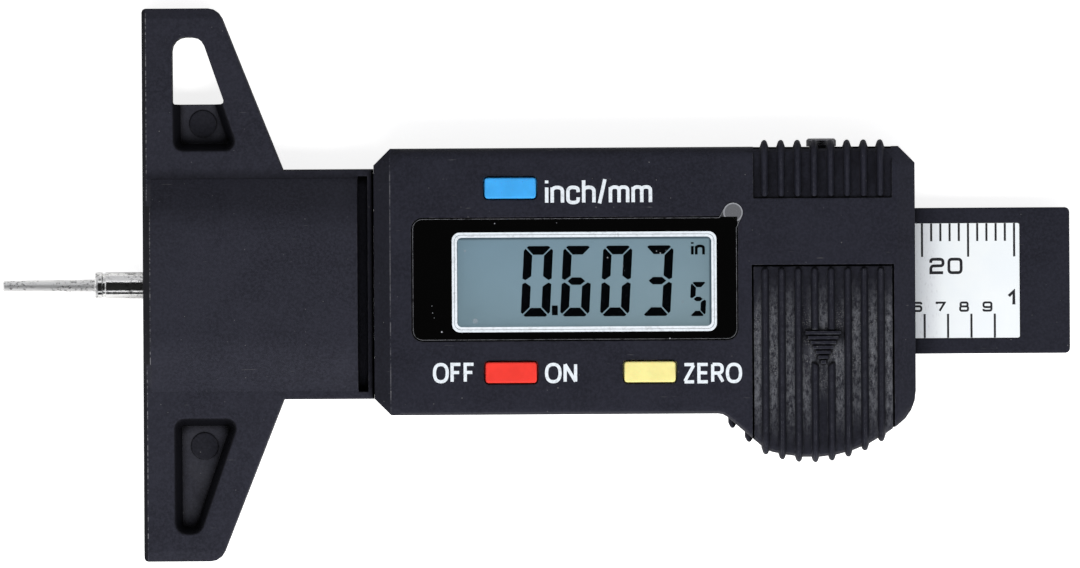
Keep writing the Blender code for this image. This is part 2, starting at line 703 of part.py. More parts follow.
def compartment(housing):
    """Shelf under the battery, ring around it and the walls with the cover's grooves."""
    wall = HOUSING_WALL
    shelf = prism("front_housing.shelf", offset(housing_outline(), wall / 2),
                  BOARD_LOW, BAY_FLOOR)
    keep(shelf, block("front_housing.shelf_part", COVER_LEFT - wall, HOUSING_RIGHT,
                      -BASE_SPAN, COVER_TOP + wall, 0, HOUSING_HEIGHT))
    fuse(housing, shelf)
    high = PLATE_UNDER + FRONT_PLATE / 4
    middle = BAY_FLOOR - CELL_FLOOR / 2
    bay_left, bay_right = COVER_LEFT - SEAT_GAP, COVER_RIGHT + SEAT_GAP
    bay_top = COVER_TOP + SEAT_GAP
    walls = (("left", bay_left - wall, bay_left, -HOUSING_BOTTOM - wall, bay_top + wall),
             ("top", bay_left - wall / 2, bay_right + wall / 2, bay_top, bay_top + wall),
             ("right", bay_right, HOUSING_RIGHT - wall / 2, -HOUSING_BOTTOM, bay_top + wall))
    for side, left, right, low, top in walls:
        fuse(housing, block(f"front_housing.bay_{side}", left, right, low, top,
                            middle, high))
    ring = turned("front_housing.cell_ring",
                  ((CELL_RADIUS + wall, middle),
                   (CELL_RADIUS + wall, RAIL_LOW - RUNNING_GAP)),
                  place=(COVER_MIDDLE, -CELL_Y, 0), sides=CELL_RING)
    fuse(housing, ring)
    cut(housing, turned("front_housing.cell_bore",
                        ((CELL_RADIUS + RUNNING_GAP, BAY_FLOOR),
                         (CELL_RADIUS + RUNNING_GAP, HOUSING_HEIGHT)),
                        place=(COVER_MIDDLE, -CELL_Y, 0), sides=CELL_RING))
    contact = COVER_MIDDLE - CELL_RADIUS
    slot = CONTACT_WIDTH / 2 + RUNNING_GAP
    cut(housing, block("front_housing.contact_slot", contact - wall - RAIL_REACH,
                       contact + RAIL_REACH, -CELL_Y - slot, -CELL_Y + slot,
                       BAY_FLOOR, RAIL_LOW))
    reach = RAIL_REACH + RUNNING_GAP
    cut(housing, block("front_housing.rail_grooves", COVER_LEFT - reach,
                       COVER_RIGHT + reach, -BASE_SPAN, bay_top,
                       RAIL_LOW - RUNNING_GAP, RAIL_LOW + RAIL_DEPTH + RUNNING_GAP))


def front_housing(carrier):
    """Moulded front shell with the window, the button openings and the battery bay."""
    wall = HOUSING_WALL
    housing = envelope("front_housing", SHELL_LOW, HOUSING_HEIGHT)
    cut(housing, prism("front_housing.hollow", offset(housing_outline(), wall),
                       -HOUSING_HEIGHT, PLATE_UNDER))
    cut(housing, block("front_housing.cover_opening", COVER_LEFT - SEAT_GAP,
                       COVER_RIGHT + SEAT_GAP, -BASE_SPAN, COVER_TOP + SEAT_GAP,
                       BAY_FLOOR - SEAT_GAP / 2, HOUSING_HEIGHT * 2))
    for number, (x, y) in enumerate(SCREWS):
        fuse(housing, turned(f"front_housing.boss_{number}",
                             ((BOSS_RADIUS, BOARD_LOW), (BOSS_RADIUS, PLATE_UNDER + wall / 2)),
                             place=(x, y, 0), sides=PIN_RING))
    compartment(housing)
    bore = SCREW_RADIUS + SEAT_GAP
    for number, (x, y) in enumerate(SCREWS):
        cut(housing, turned(f"front_housing.boss_bore_{number}",
                            ((bore, 0), (bore, SCREW_TIP + wall / 2)),
                            place=(x, y, 0), sides=HOLE_RING))

    cut(housing, block("front_housing.neck_notch", HOUSING_LEFT - wall,
                       HOUSING_LEFT + wall * 2, -GUIDE_WALL - SEAT_GAP,
                       GUIDE_WALL + SEAT_GAP, 0, BOARD_LOW))
    cut(housing, block("front_housing.bar_notch", HOUSING_RIGHT - wall * 2,
                       HOUSING_RIGHT + wall, -CHANNEL_HALF, CHANNEL_HALF, 0, BOARD_LOW))

    lens = lens_outline()
    cut(housing, prism("front_housing.lens_seat", lens, LENS_SEAT, HOUSING_HEIGHT * 2))
    cut(housing, prism("front_housing.view", box_corners(
        VIEW_LEFT, VIEW_RIGHT, -VIEW_LOW, VIEW_HIGH, VIEW_CORNER),
        0, HOUSING_HEIGHT))
    for name, x, y, _ in BUTTONS:
        cut(housing, prism(f"front_housing.{name}_opening", button_outline(
            x, y, RUNNING_GAP), 0, HOUSING_HEIGHT * 2))

    grip_left, grip_right = COVER_LEFT + SEAT_GAP, COVER_RIGHT - SEAT_GAP
    cut(housing, block("front_housing.grip_face", grip_left, grip_right, GRIP_LOW,
                       HOUSING_TOP * 2, COVER_FACE, HOUSING_HEIGHT * 2))
    cut(housing, block("front_housing.grip_side", grip_left, grip_right,
                       HOUSING_TOP - COVER_SINK, HOUSING_TOP * 2,
                       RIB_FOOT - RIB_PROUD / 2, HOUSING_HEIGHT * 2))
    for number, x in enumerate(rib_places()):
        fuse(housing, wrapped_rib(f"front_housing.grip_rib_{number}", x,
                                  GRIP_LOW + RIB_PROUD / 4, HOUSING_TOP, RIB_PROUD))
    for number in range(SIDE_RIB_COUNT):
        fuse(housing, side_rib(f"front_housing.side_rib_{number}",
                               rib_places()[0] - (number + 1) * RIB_PITCH))

    cut(housing, turned("front_housing.gib_screw_hole",
                        ((SCREW_RADIUS + RUNNING_GAP, GUIDE_WALL),
                         (SCREW_RADIUS + RUNNING_GAP, HOUSING_TOP * 2)),
                        "Y", sides=HOLE_RING, place=(COVER_MIDDLE, 0, BAR_MIDDLE)))
    return finish(housing, "black_plastic", carrier)


def rear_cover(carrier):
    """Back plate with its screw seats, locating ribs and the groove of the stop pin."""
    edges = [(REAR_EDGE, False)] * 10
    cover = crowned("rear_cover", housing_outline(), REAR_PLATE, 0, edges, REAR_EDGE)
    inner = GUIDE_WALL + RUNNING_GAP
    outer = HOUSING_TOP - HOUSING_WALL - SEAT_GAP
    fuse(cover, block("rear_cover.upper_rib", SCREWS[0][0], SCREWS[2][0], inner, outer,
                      REAR_PLATE / 2, REAR_PLATE + LOCATING_RIB))
    outer = HOUSING_BOTTOM - HOUSING_WALL - SEAT_GAP
    fuse(cover, block("rear_cover.lower_rib", SCREWS[1][0], SCREWS[3][0], -outer,
                      -inner, REAR_PLATE / 2, REAR_PLATE + LOCATING_RIB))
    seat = SCREW_HEAD_RADIUS + RUNNING_GAP
    hole = SCREW_RADIUS + RUNNING_GAP
    for number, (x, y) in enumerate(SCREWS):
        profile = ((seat, -REAR_PLATE), (seat, SCREW_SHOULDER + SEAT_GAP),
                   (hole, SCREW_SHOULDER + SEAT_GAP), (hole, REAR_PLATE * 2))
        cut(cover, turned(f"rear_cover.screw_seat_{number}", profile, place=(x, y, 0),
                          sides=PIN_RING))
    out = READING_LIMIT - READING
    play = STOP_PIN_RADIUS + RUNNING_GAP
    cut(cover, prism("rear_cover.stop_groove", box_corners(
        STOP_PIN_X - out - play, STOP_PIN_X + READING + play, -play, play, play * 0.99),
        REAR_PLATE - STOP_PIN_DEPTH, REAR_PLATE * 2))
    return finish(cover, "black_plastic", carrier)


def housing_screws(carrier):
    """Self-tapping screws, driven from the back into the bosses of the front shell."""
    low = SCREW_SINK
    profile = ((SCREW_HEAD_RADIUS - RUNNING_GAP * 2, low),
               (SCREW_HEAD_RADIUS, low + SCREW_HEAD_HEIGHT / 3),
               (SCREW_HEAD_RADIUS, SCREW_SHOULDER), (SCREW_RADIUS, SCREW_SHOULDER),
               (SCREW_RADIUS, SCREW_TIP - SCREW_RADIUS), (SCREW_RADIUS / 3, SCREW_TIP))
    for number, (x, y) in enumerate(SCREWS):
        screw = turned(f"housing_screw_{number + 1}", profile, place=(x, y, 0), sides=PIN_RING)
        narrow, wide = SCREW_SLOT / 2, SCREW_SLOT_REACH
        for turn, (reach_x, reach_y) in enumerate(((wide, narrow), (narrow, wide))):
            cut(screw, block(f"housing_screw_{number + 1}.slot_{turn}", x - reach_x,
                             x + reach_x, y - reach_y, y + reach_y, -low,
                             low + SCREW_HEAD_HEIGHT / 2))
        finish(screw, "black_screw", carrier, (x, y, 0))


def gib(carrier):
    """Spring strip that steadies the bar, and the screw that presses on it."""
    strip = block("gib_strip", COVER_MIDDLE - GIB_LENGTH / 2, COVER_MIDDLE + GIB_LENGTH / 2,
                  BAR_WIDTH / 2 + SEAT_GAP, GIB_OUTER, BAR_LOW + SEAT_GAP,
                  BAR_HIGH - SEAT_GAP)
    finish(strip, "brass", carrier, (COVER_MIDDLE, GIB_OUTER, BAR_MIDDLE))
    head = HOUSING_TOP + SEAT_GAP / 2
    top = HOUSING_TOP + GIB_SCREW_PROUD
    profile = ((SCREW_RADIUS, GIB_OUTER + SEAT_GAP), (SCREW_RADIUS, head),
               (GIB_SCREW_HEAD_RADIUS, head), (GIB_SCREW_HEAD_RADIUS, top - BAR_EDGE),
               (GIB_SCREW_HEAD_RADIUS - BAR_EDGE, top))
    screw = turned("gib_screw", profile, "Y", place=(COVER_MIDDLE, 0, BAR_MIDDLE))
    wide, narrow = GIB_SLOT_REACH, SCREW_SLOT / 2
    cut(screw, block("gib_screw.slot", COVER_MIDDLE - wide, COVER_MIDDLE + wide,
                     top - SCREW_SLOT, top + SCREW_SLOT, BAR_MIDDLE - narrow,
                     BAR_MIDDLE + narrow))
    finish(screw, "black_screw", carrier, (COVER_MIDDLE, HOUSING_TOP, BAR_MIDDLE))


def tangent_point(start, centre, radius, side):
    """Where a straight line from a point touches a circle, on one side of it."""
    run, rise = centre[0] - start[0], centre[1] - start[1]
    reach = math.hypot(run, rise)
    length = math.sqrt(reach ** 2 - radius ** 2)
    angle = math.atan2(rise, run) + side * math.asin(radius / reach)
    return (start[0] + length * math.cos(angle), start[1] + length * math.sin(angle))


def lens_outline():
    return box_corners(LENS_LEFT, LENS_RIGHT, -LENS_LOW, LENS_HIGH, LENS_CORNER)


def display_window(carrier):
    """Gloss window in its recess, and the thin film with a pull tab that protects it."""
    face = HOUSING_HEIGHT - SEAT_GAP
    window = prism("display_window", offset(lens_outline(), SEAT_GAP / 2),
                   LENS_SEAT + SEAT_GAP / 2, face)
    finish(window, "window", carrier)
    low = HOUSING_HEIGHT + SEAT_GAP / 3
    high = low + FILM_THICK
    film = prism("window_film", offset(lens_outline(), RUNNING_GAP), low, high)
    x, y, radius = LENS_RIGHT - FILM_TAB_INSET, LENS_HIGH + FILM_TAB_RISE, FILM_TAB_RADIUS
    fuse(film, turned("window_film.tab", ((radius, low), (radius, high)), place=(x, y, 0)))
    left = (LENS_RIGHT - FILM_WEB_ALONG, LENS_HIGH - RUNNING_GAP * 2)
    right = (LENS_RIGHT - RUNNING_GAP * 2, LENS_HIGH - FILM_WEB_DOWN)
    web = (left, right, tangent_point(right, (x, y), radius, -1),
           tangent_point(left, (x, y), radius, 1))
    fuse(film, prism("window_film.web", [corner(*point) for point in web], low, high))
    finish(film, "film", carrier)


def display(carrier):
    """Liquid crystal glass, its holder and the rubber strip that feeds it."""
    left, right = VIEW_LEFT + GLASS_BORDER / 2, VIEW_RIGHT - GLASS_BORDER / 2
    low, high = -VIEW_LOW - GLASS_BORDER / 4, VIEW_HIGH + GLASS_BORDER / 4
    top = PLATE_UNDER - SEAT_GAP
    bottom = top - GLASS_THICK
    glass = block("display_glass", left, right, low, high, bottom, top)
    finish(glass, "display", carrier)

    wall, gap = HOLDER_WALL, SEAT_GAP
    holder = block("display_holder", left - wall, right + wall, low - wall, high + wall,
                   BOARD_HIGH + gap, top)
    cut(holder, block("display_holder.seat", left - gap, right + gap, low - gap, high + gap,
                      bottom - gap, HOUSING_HEIGHT))
    cut(holder, block("display_holder.well", left + wall * 2, right - wall * 2,
                      low + wall * 2, high - wall * 3, 0, HOUSING_HEIGHT))
    strip = (left + wall, right - wall, high - wall * 2, high - wall)
    cut(holder, block("display_holder.strip_slot", strip[0] - gap, strip[1] + gap,
                      strip[2] - gap, strip[3] + gap, 0, HOUSING_HEIGHT))
    finish(holder, "holder", carrier)
    rubber = block("contact_rubber", *strip, BOARD_HIGH + gap / 2, bottom - gap / 2)
    finish(rubber, "rubber", carrier)


def circuit_board(carrier):
    """Board with the sensing plates, its covered chip and the three switch domes."""
    left = HOUSING_LEFT + HOUSING_WALL + BOARD_MARGIN
    right = COVER_LEFT - SEAT_GAP - HOUSING_WALL - BOARD_MARGIN
    half = GUIDE_WALL + BOARD_MARGIN
    board = prism("circuit_board", box_corners(left, right, -half, half, BOARD_MARGIN),
                  BOARD_LOW, BOARD_HIGH)
    clear = BOSS_RADIUS + RUNNING_GAP
    for number, (x, y) in enumerate(SCREWS):
        if x < right + clear:
            cut(board, turned(f"circuit_board.boss_hole_{number}",
                              ((clear, 0), (clear, HOUSING_HEIGHT)),
                              place=(x, y, 0), sides=PIN_RING))
    finish(board, "board_green", carrier)

    low = BOARD_HIGH + SEAT_GAP / 2
    rings = 3
    profile = [(CHIP_RADIUS * math.cos(math.pi / 2 * ring / (rings + 1)),
                low + CHIP_HEIGHT * math.sin(math.pi / 2 * ring / (rings + 1)))
               for ring in range(rings + 1)]
    chip = turned("chip_cover", profile, sides=PIN_RING, place=(VIEW_MIDDLE, 0, 0))
    finish(chip, "epoxy", carrier)
    for name, x, y, _ in BUTTONS:
        profile = ((DOME_RADIUS, low), (DOME_RADIUS * 0.9, low + DOME_HEIGHT / 2),
                   (DOME_RADIUS * 0.5, low + DOME_HEIGHT))
        dome = turned(f"{name}_dome", profile, sides=PIN_RING, place=(x, y, 0))
        finish(dome, "contact_nickel", carrier)


def button_outline(x, y, grow=0.0):
    half_x, half_y = BUTTON_LENGTH / 2 + grow, BUTTON_WIDTH / 2 + grow
    return box_corners(x - half_x, x + half_x, y - half_y, y + half_y, BUTTON_CORNER + grow)


def button(name, x, y, finish_name, carrier):
    """A key with the flange that holds it in the shell and the stem above its dome."""
    top = HOUSING_HEIGHT + BUTTON_PROUD
    edges = [(BUTTON_EDGE, False)] * 4
    key = crowned(f"{name}_button", button_outline(x, y), PLATE_UNDER - FRONT_PLATE / 4,
                  top, edges, BUTTON_EDGE)
    high = PLATE_UNDER - SEAT_GAP
    low = high - BUTTON_FLANGE
    flange = prism(f"{name}_button.flange", button_outline(x, y, BUTTON_FLANGE + RUNNING_GAP),
                   low, high)
    dome_top = BOARD_HIGH + SEAT_GAP / 2 + DOME_HEIGHT
    stem = turned(f"{name}_button.stem",
                  ((DOME_RADIUS / 2, dome_top + BUTTON_TRAVEL + SEAT_GAP / 2),
                   (DOME_RADIUS / 2, low + BUTTON_FLANGE / 2)), sides=HOLE_RING, place=(x, y, 0))
    fuse(key, flange, stem)
    finish(key, finish_name, carrier, (x, y, top))


def battery(carrier):
    """Button cell with its two contacts."""
    can_low = CELL_LOW + CELL_CAP_HEIGHT
    top = CELL_LOW + CELL_HEIGHT
    edge = CELL_EDGE
    profile = ((CELL_CAP_RADIUS, CELL_LOW), (CELL_CAP_RADIUS, can_low),
               (CELL_RADIUS - edge, can_low), (CELL_RADIUS, can_low + edge),
               (CELL_RADIUS, top - edge), (CELL_RADIUS - edge, top))
    place = (COVER_MIDDLE, -CELL_Y, 0)
    finish(turned("button_cell", profile, sides=CELL_RING, place=place), "cell_steel", carrier,
           (COVER_MIDDLE, -CELL_Y, CELL_LOW))

    low = BAY_FLOOR + SEAT_GAP / 2
    rise = CELL_LOW - SEAT_GAP / 2 - CONTACT_THICK - low
    foot, half = CELL_CAP_RADIUS * 0.85, CONTACT_WIDTH / 2
    line = [(-foot, 0), (-foot / 2, 0), (0, rise), (foot / 2, 0), (foot, 0)]
    points = line + [(x, z + CONTACT_THICK) for x, z in reversed(line)]
    rings = [[(COVER_MIDDLE + x, y - CELL_Y, low + z) for x, z in points]
             for y in (-half, half)]
    finish(loft("cell_spring", rings), "contact_nickel", carrier)

    side = COVER_MIDDLE - CELL_RADIUS - SEAT_GAP
    reach = HOUSING_WALL - SEAT_GAP
    points = [(side - reach, low), (side, low), (side, RAIL_LOW - CONTACT_THICK),
              (side - CONTACT_THICK, RAIL_LOW - CONTACT_THICK),
              (side - CONTACT_THICK, low + CONTACT_THICK), (side - reach, low + CONTACT_THICK)]
    rings = [[(x, y - CELL_Y, z) for x, z in points] for y in (-half, half)]
    finish(loft("cell_side_contact", rings), "contact_nickel", carrier)


def arrow(cover):
    """Opening arrow: short bars that narrow towards the edge, where two ribs are cut."""
    top, half, bars, spacing = -ARROW_TOP, ARROW_HALF, ARROW_BARS, ARROW_SPACING
    shoulder, tip = top - ARROW_SHOULDER, top - spacing * (bars + 1)
    field = [corner(COVER_MIDDLE - half, top), corner(COVER_MIDDLE - half, shoulder),
             corner(COVER_MIDDLE, tip), corner(COVER_MIDDLE + half, shoulder),
             corner(COVER_MIDDLE + half, top)]
    cut(cover, prism("battery_cover.arrow_field", field, COVER_FACE, HOUSING_HEIGHT * 2))
    for number in range(bars):
        high = top - spacing * number - ARROW_GAP
        reach = (half - ARROW_GAP) * (1 - number / bars)
        fuse(cover, block(f"battery_cover.arrow_bar_{number}", COVER_MIDDLE - reach,
                          COVER_MIDDLE + reach, high - spacing + ARROW_GAP, high,
                          COVER_UNDER + COVER_PLATE / 2, RIB_FRONT - RIB_RISE / 2))


def battery_cover(carrier):
    """Ribbed cover that wraps the belly and slides out on two rails."""
    cover = envelope("battery_cover", COVER_FOOT, COVER_FACE)
    left, right = COVER_LEFT + SEAT_GAP, COVER_RIGHT - SEAT_GAP
    top = COVER_TOP - SEAT_GAP
    keep(cover, block("battery_cover.extent", left, right, -BASE_SPAN, top, 0,
                      HOUSING_HEIGHT))
    cut(cover, prism("battery_cover.hollow", offset(housing_outline(), HOUSING_WALL),
                     0, COVER_UNDER))
    low, high = RAIL_LOW, RAIL_LOW + RAIL_DEPTH
    rail_end = -HOUSING_BOTTOM + HOUSING_WALL
    for side, inner, outer in (("left", left + SKIRT_WIDTH, left - RAIL_REACH),
                               ("right", right - SKIRT_WIDTH, right + RAIL_REACH)):
        edge = left if side == "left" else right
        fuse(cover, block(f"battery_cover.{side}_skirt", min(inner, edge), max(inner, edge),
                          rail_end, top, low, COVER_UNDER + COVER_PLATE / 2))
        fuse(cover, block(f"battery_cover.{side}_rail", min(inner, outer),
                          max(inner, outer), rail_end, top - RUNNING_GAP,
                          low + SEAT_GAP / 4, high))
    for number, x in enumerate(rib_places()):
        fuse(cover, wrapped_rib(f"battery_cover.rib_{number}", x, top - RIB_PROUD / 4,
                                belly_at(x), COVER_RIB_PROUD))
    arrow(cover)
    return finish(cover, "cover_plastic", carrier, (COVER_MIDDLE, top, COVER_FACE))


def slider(carrier):
    """The bar with its measuring strip, its printed scale and the stepped probe."""
    half = BAR_WIDTH / 2
    outline = box_corners(BAR_START, BAR_END, -half, half, BAR_CORNER)
    bar = crowned("slide_bar", outline, BAR_LOW, BAR_HIGH, [(BAR_EDGE, False)] * 4, BAR_EDGE)
    scale_left = BAR_START + SCALE_START_MARGIN
    scale_right = BAR_END - SCALE_END_MARGIN
    recess = box_corners(scale_left, scale_right, -SCALE_HALF_WIDTH - SEAT_GAP,
                         SCALE_HALF_WIDTH + SEAT_GAP, BAR_CORNER / 2)
    cut(bar, prism("slide_bar.recess", recess, BAR_HIGH - SCALE_RECESS, HOUSING_HEIGHT))
    slot = ROD_RADIUS + SEAT_GAP / 2
    cut(bar, block("slide_bar.probe_slot", 0, BAR_START + ROD_SEAT + SEAT_GAP, -slot, slot,
                   0, HOUSING_HEIGHT))
    pin = STOP_PIN_RADIUS + SEAT_GAP / 2
    cut(bar, turned("slide_bar.pin_hole", ((pin, 0), (pin, BAR_MIDDLE)), sides=PIN_RING,
                    place=(STOP_PIN_X, 0, 0)))
    finish(bar, "bar_plastic", carrier, (BAR_START, 0, BAR_MIDDLE))

    inset = offset(recess, SEAT_GAP / 2)
    low = BAR_HIGH - SCALE_RECESS + SEAT_GAP / 4
    strip = prism("stator_strip", inset, low, low + STATOR_THICK)
    finish(strip, "stator", carrier, (BAR_START, 0, BAR_MIDDLE))
    low += STATOR_THICK + SEAT_GAP / 4
    label = prism("scale_label", inset, low, low + LABEL_THICK)
    finish(label, "scale_white", carrier, (BAR_START, 0, BAR_MIDDLE))

    edge = ROD_EDGE
    groove = NEEDLE_ROOT + ROD_GROOVE_PLACE
    groove_end = groove + ROD_GROOVE_WIDTH
    profile = ((NEEDLE_TIP_RADIUS - edge, -READING), (NEEDLE_TIP_RADIUS, edge - READING),
               (NEEDLE_ROOT_RADIUS, NEEDLE_ROOT), (ROD_RADIUS - edge, NEEDLE_ROOT),
               (ROD_RADIUS, NEEDLE_ROOT + edge), (ROD_RADIUS, groove),
               (ROD_RADIUS - edge, groove + edge / 2),
               (ROD_RADIUS - edge, groove_end - edge / 2),
               (ROD_RADIUS, groove_end), (ROD_RADIUS, BAR_START + ROD_SEAT))
    probe = turned("depth_probe", profile, "X", place=(0, 0, BAR_MIDDLE))
    finish(probe, "chrome_steel", carrier, (NEEDLE_ROOT, 0, BAR_MIDDLE))

    low = REAR_PLATE - STOP_PIN_DEPTH + SEAT_GAP
    pin = turned("stop_pin", ((STOP_PIN_RADIUS, low), (STOP_PIN_RADIUS, BAR_MIDDLE - SEAT_GAP)),
                 sides=PIN_RING, place=(STOP_PIN_X, 0, 0))
    finish(pin, "chrome_steel", carrier, (STOP_PIN_X, 0, BAR_LOW))


def build():
    for old in list(bpy.data.objects):
        bpy.data.objects.remove(old, do_unlink=True)
    gauge = empty("gauge", (-MIDDLE_X, 0, 0))
    t_base(gauge)
    front_housing(gauge)
    rear_cover(gauge)
    housing_screws(gauge)
    gib(gauge)
    display_window(gauge)
    display(gauge)
    circuit_board(gauge)
    battery(gauge)
    slider(empty("bar_slide", (BAR_START, 0, BAR_MIDDLE), gauge))
    battery_cover(empty("cover_slide", (COVER_MIDDLE, COVER_TOP, COVER_FACE), gauge))
    for name, x, y, finish_name in BUTTONS:
        press = empty(f"{name}_press", (x, y, HOUSING_HEIGHT + BUTTON_PROUD), gauge)
        button(name, x, y, finish_name, press)


build()
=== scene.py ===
"""Looks of the digital depth caliper: materials, print, display and studio.

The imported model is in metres, with the display facing +Z and the probe pointing to -X.
The lengths below are in millimetres, apart from those whose comment says metres. Places are
given from the measuring face (x) and the line of the probe (y), because that is how a
drawing of the gauge would place them.
"""
import math

import bmesh
import bpy
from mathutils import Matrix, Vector


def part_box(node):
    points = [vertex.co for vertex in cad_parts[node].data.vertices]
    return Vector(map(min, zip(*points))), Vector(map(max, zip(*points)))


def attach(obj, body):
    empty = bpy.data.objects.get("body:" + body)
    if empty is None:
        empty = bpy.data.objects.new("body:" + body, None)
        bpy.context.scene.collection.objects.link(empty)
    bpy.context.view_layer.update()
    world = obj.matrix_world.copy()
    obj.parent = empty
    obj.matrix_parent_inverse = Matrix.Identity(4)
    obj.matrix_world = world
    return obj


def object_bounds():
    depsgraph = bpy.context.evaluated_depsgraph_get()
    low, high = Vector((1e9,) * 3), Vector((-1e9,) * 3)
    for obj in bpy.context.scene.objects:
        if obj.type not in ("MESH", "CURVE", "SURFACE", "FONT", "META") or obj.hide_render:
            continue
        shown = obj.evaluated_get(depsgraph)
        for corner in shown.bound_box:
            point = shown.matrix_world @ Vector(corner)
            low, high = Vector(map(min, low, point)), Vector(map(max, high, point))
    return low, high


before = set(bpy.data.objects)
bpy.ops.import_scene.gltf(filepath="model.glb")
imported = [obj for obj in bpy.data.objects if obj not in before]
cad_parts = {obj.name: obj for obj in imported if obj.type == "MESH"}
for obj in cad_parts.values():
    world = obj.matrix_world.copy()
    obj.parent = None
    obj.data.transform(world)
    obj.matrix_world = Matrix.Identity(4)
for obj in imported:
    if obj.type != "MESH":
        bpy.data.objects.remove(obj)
CAD_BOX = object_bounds()

MM = 0.001
FACE_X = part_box("t_base")[0].x

# Camera over the display: the photograph's scale, middle and slight roll, and how near and
# far the camera sees, in metres
IMAGE_WIDTH = 1080
PIXELS_PER_MM = 9.24
LENS = 700
SENSOR = 36
VIEW_MIDDLE = (43.07, -0.107)
ROLL = 0.33
SEES_FROM = 0.05
SEES_TO = 20

# Thickness of a print, and its gap over the surface. Prints that follow each other in a list
# get one of a few heights, each higher by a share, because their lines may cross.
PRINT_THICK = 0.012
PRINT_GAP = 0.002
PRINT_STEP = 0.15
PRINT_HEIGHTS = 3

# Display: printed frame with its two bands as shares of its line, digits and unit
FRAME_OUTER = (33.54, -5.30, 62.19, 5.50)
FRAME_LINE = 0.56
FRAME_BANDS = ((0, 0.45), (0.52, 1))
FRAME_RADIUS = 0.85
FRAME_RADIUS_LOSS = 0.6
DIGITS = (("0", 40.95), ("6", 45.22), ("0", 49.54), ("3", 54.00))
DIGIT_LOW = -3.64
DIGIT_HEIGHT = 7.64
DIGIT_WIDTH = 3.16
DIGIT_STROKE = 0.94
DIGIT_SLANT = 3.1
POINT_BOX = (44.34, -3.50, 44.98, -2.45)
SMALL_DIGIT = ("5", 59.22, -3.68, 1.74, 3.70, 0.57)
UNIT_BOX = (59.44, 2.84, 60.95, 4.48)
UNIT_PEN = 0.30
SEGMENTS = {"0": "abcdef", "3": "abcdg", "5": "acdfg", "6": "acdefg"}

# Words beside the keys: text, left, low, right, high, and how wide the pen is
KEY_WORDS = (("inch_mm", "inch/mm", 43.66, 8.40, 55.26, 11.38, 0.38),
             ("off", "OFF", 31.42, -10.80, 36.00, -8.58, 0.35),
             ("on", "ON", 43.55, -10.86, 47.04, -8.64, 0.35),
             ("zero", "ZERO", 58.48, -10.96, 64.89, -8.74, 0.35))

# Scale on the bar. A figure has its width, height and pen; its number starts at a height and
# ends at a gap before its mark.
SCALE_ZERO = 69.58
SCALE_RANGE = 25
SCALE_INSET = 0.02
INCH = 25.4
TENTHS = 10
TICK_WIDTH = 0.23
TICK_LONG = 3.62
TICK_SHORT = 1.92
LONG_EVERY = 5
INCH_TICK = 2.60
MM_NUMBERS = (10, 20)
MM_FIGURE = (1.64, 1.77, 0.31)
MM_FIGURE_LOW = 0.71
MM_FIGURE_GAP = 0.61
TENTH_FIGURE = (1.08, 1.11, 0.22)
TENTH_FIGURE_LOW = -3.39
TENTH_FIGURE_GAP = 0.25
INCH_FIGURE = (0.87, 1.76, 0.33)
INCH_FIGURE_LOW = -2.79
INCH_FIGURE_GAP = 0.30
FIGURE_SPACE = 0.32

# Letters and numbers as pen paths in a box one cap height or one small letter high. A third
# number rounds that corner, and a path that ends where it starts is closed.
OVAL = ((0, 0, 0.5), (0.80, 0, 0.5), (0.80, 1, 0.5), (0, 1, 0.5), (0, 0, 0.5))
ARCH = ((0, 0.45), (0, 1, 0.30), (0.56, 1, 0.28), (0.56, 0))
LETTERS = {
    "O": (0.80, (OVAL,)),
    "F": (0.52, (((0, 0), (0, 1), (0.52, 1)), ((0, 0.53), (0.44, 0.53)))),
    "N": (0.62, (((0, 0), (0, 1)), ((0, 1), (0.62, 0)), ((0.62, 0), (0.62, 1)))),
    "Z": (0.58, (((0, 1), (0.58, 1)), ((0.56, 0.96), (0.02, 0.04)), ((0, 0), (0.58, 0)))),
    "E": (0.54, (((0.54, 1), (0, 1), (0, 0), (0.54, 0)), ((0, 0.52), (0.50, 0.52)))),
    "R": (0.60, (((0, 0), (0, 1)), ((0, 1), (0.58, 1, 0.24), (0.58, 0.50, 0.24), (0, 0.50)),
                 ((0.30, 0.56), (0.62, 0)))),
    "i": (0.0, (((0, 0), (0, 1)), ((0, 1.27), (0, 1.46)))),
    "n": (0.56, (((0, 0), (0, 1)), ARCH)),
    "c": (0.56, (((0.56, 0.68), (0.54, 1, 0.27), (0, 1, 0.28), (0, 0, 0.28), (0.54, 0, 0.27),
                  (0.56, 0.34)),)),
    "h": (0.56, (((0, 0), (0, 1.46)), ARCH)),
    "/": (0.30, (((0, -0.06), (0.30, 1.52)),)),
    "m": (0.94, (((0, 0), (0, 1)), ((0, 0.45), (0, 1, 0.26), (0.47, 1, 0.22), (0.47, 0)),
                 ((0.47, 0.55), (0.47, 1, 0.26), (0.94, 1, 0.22), (0.94, 0)))),
}
BOWL = 0.26
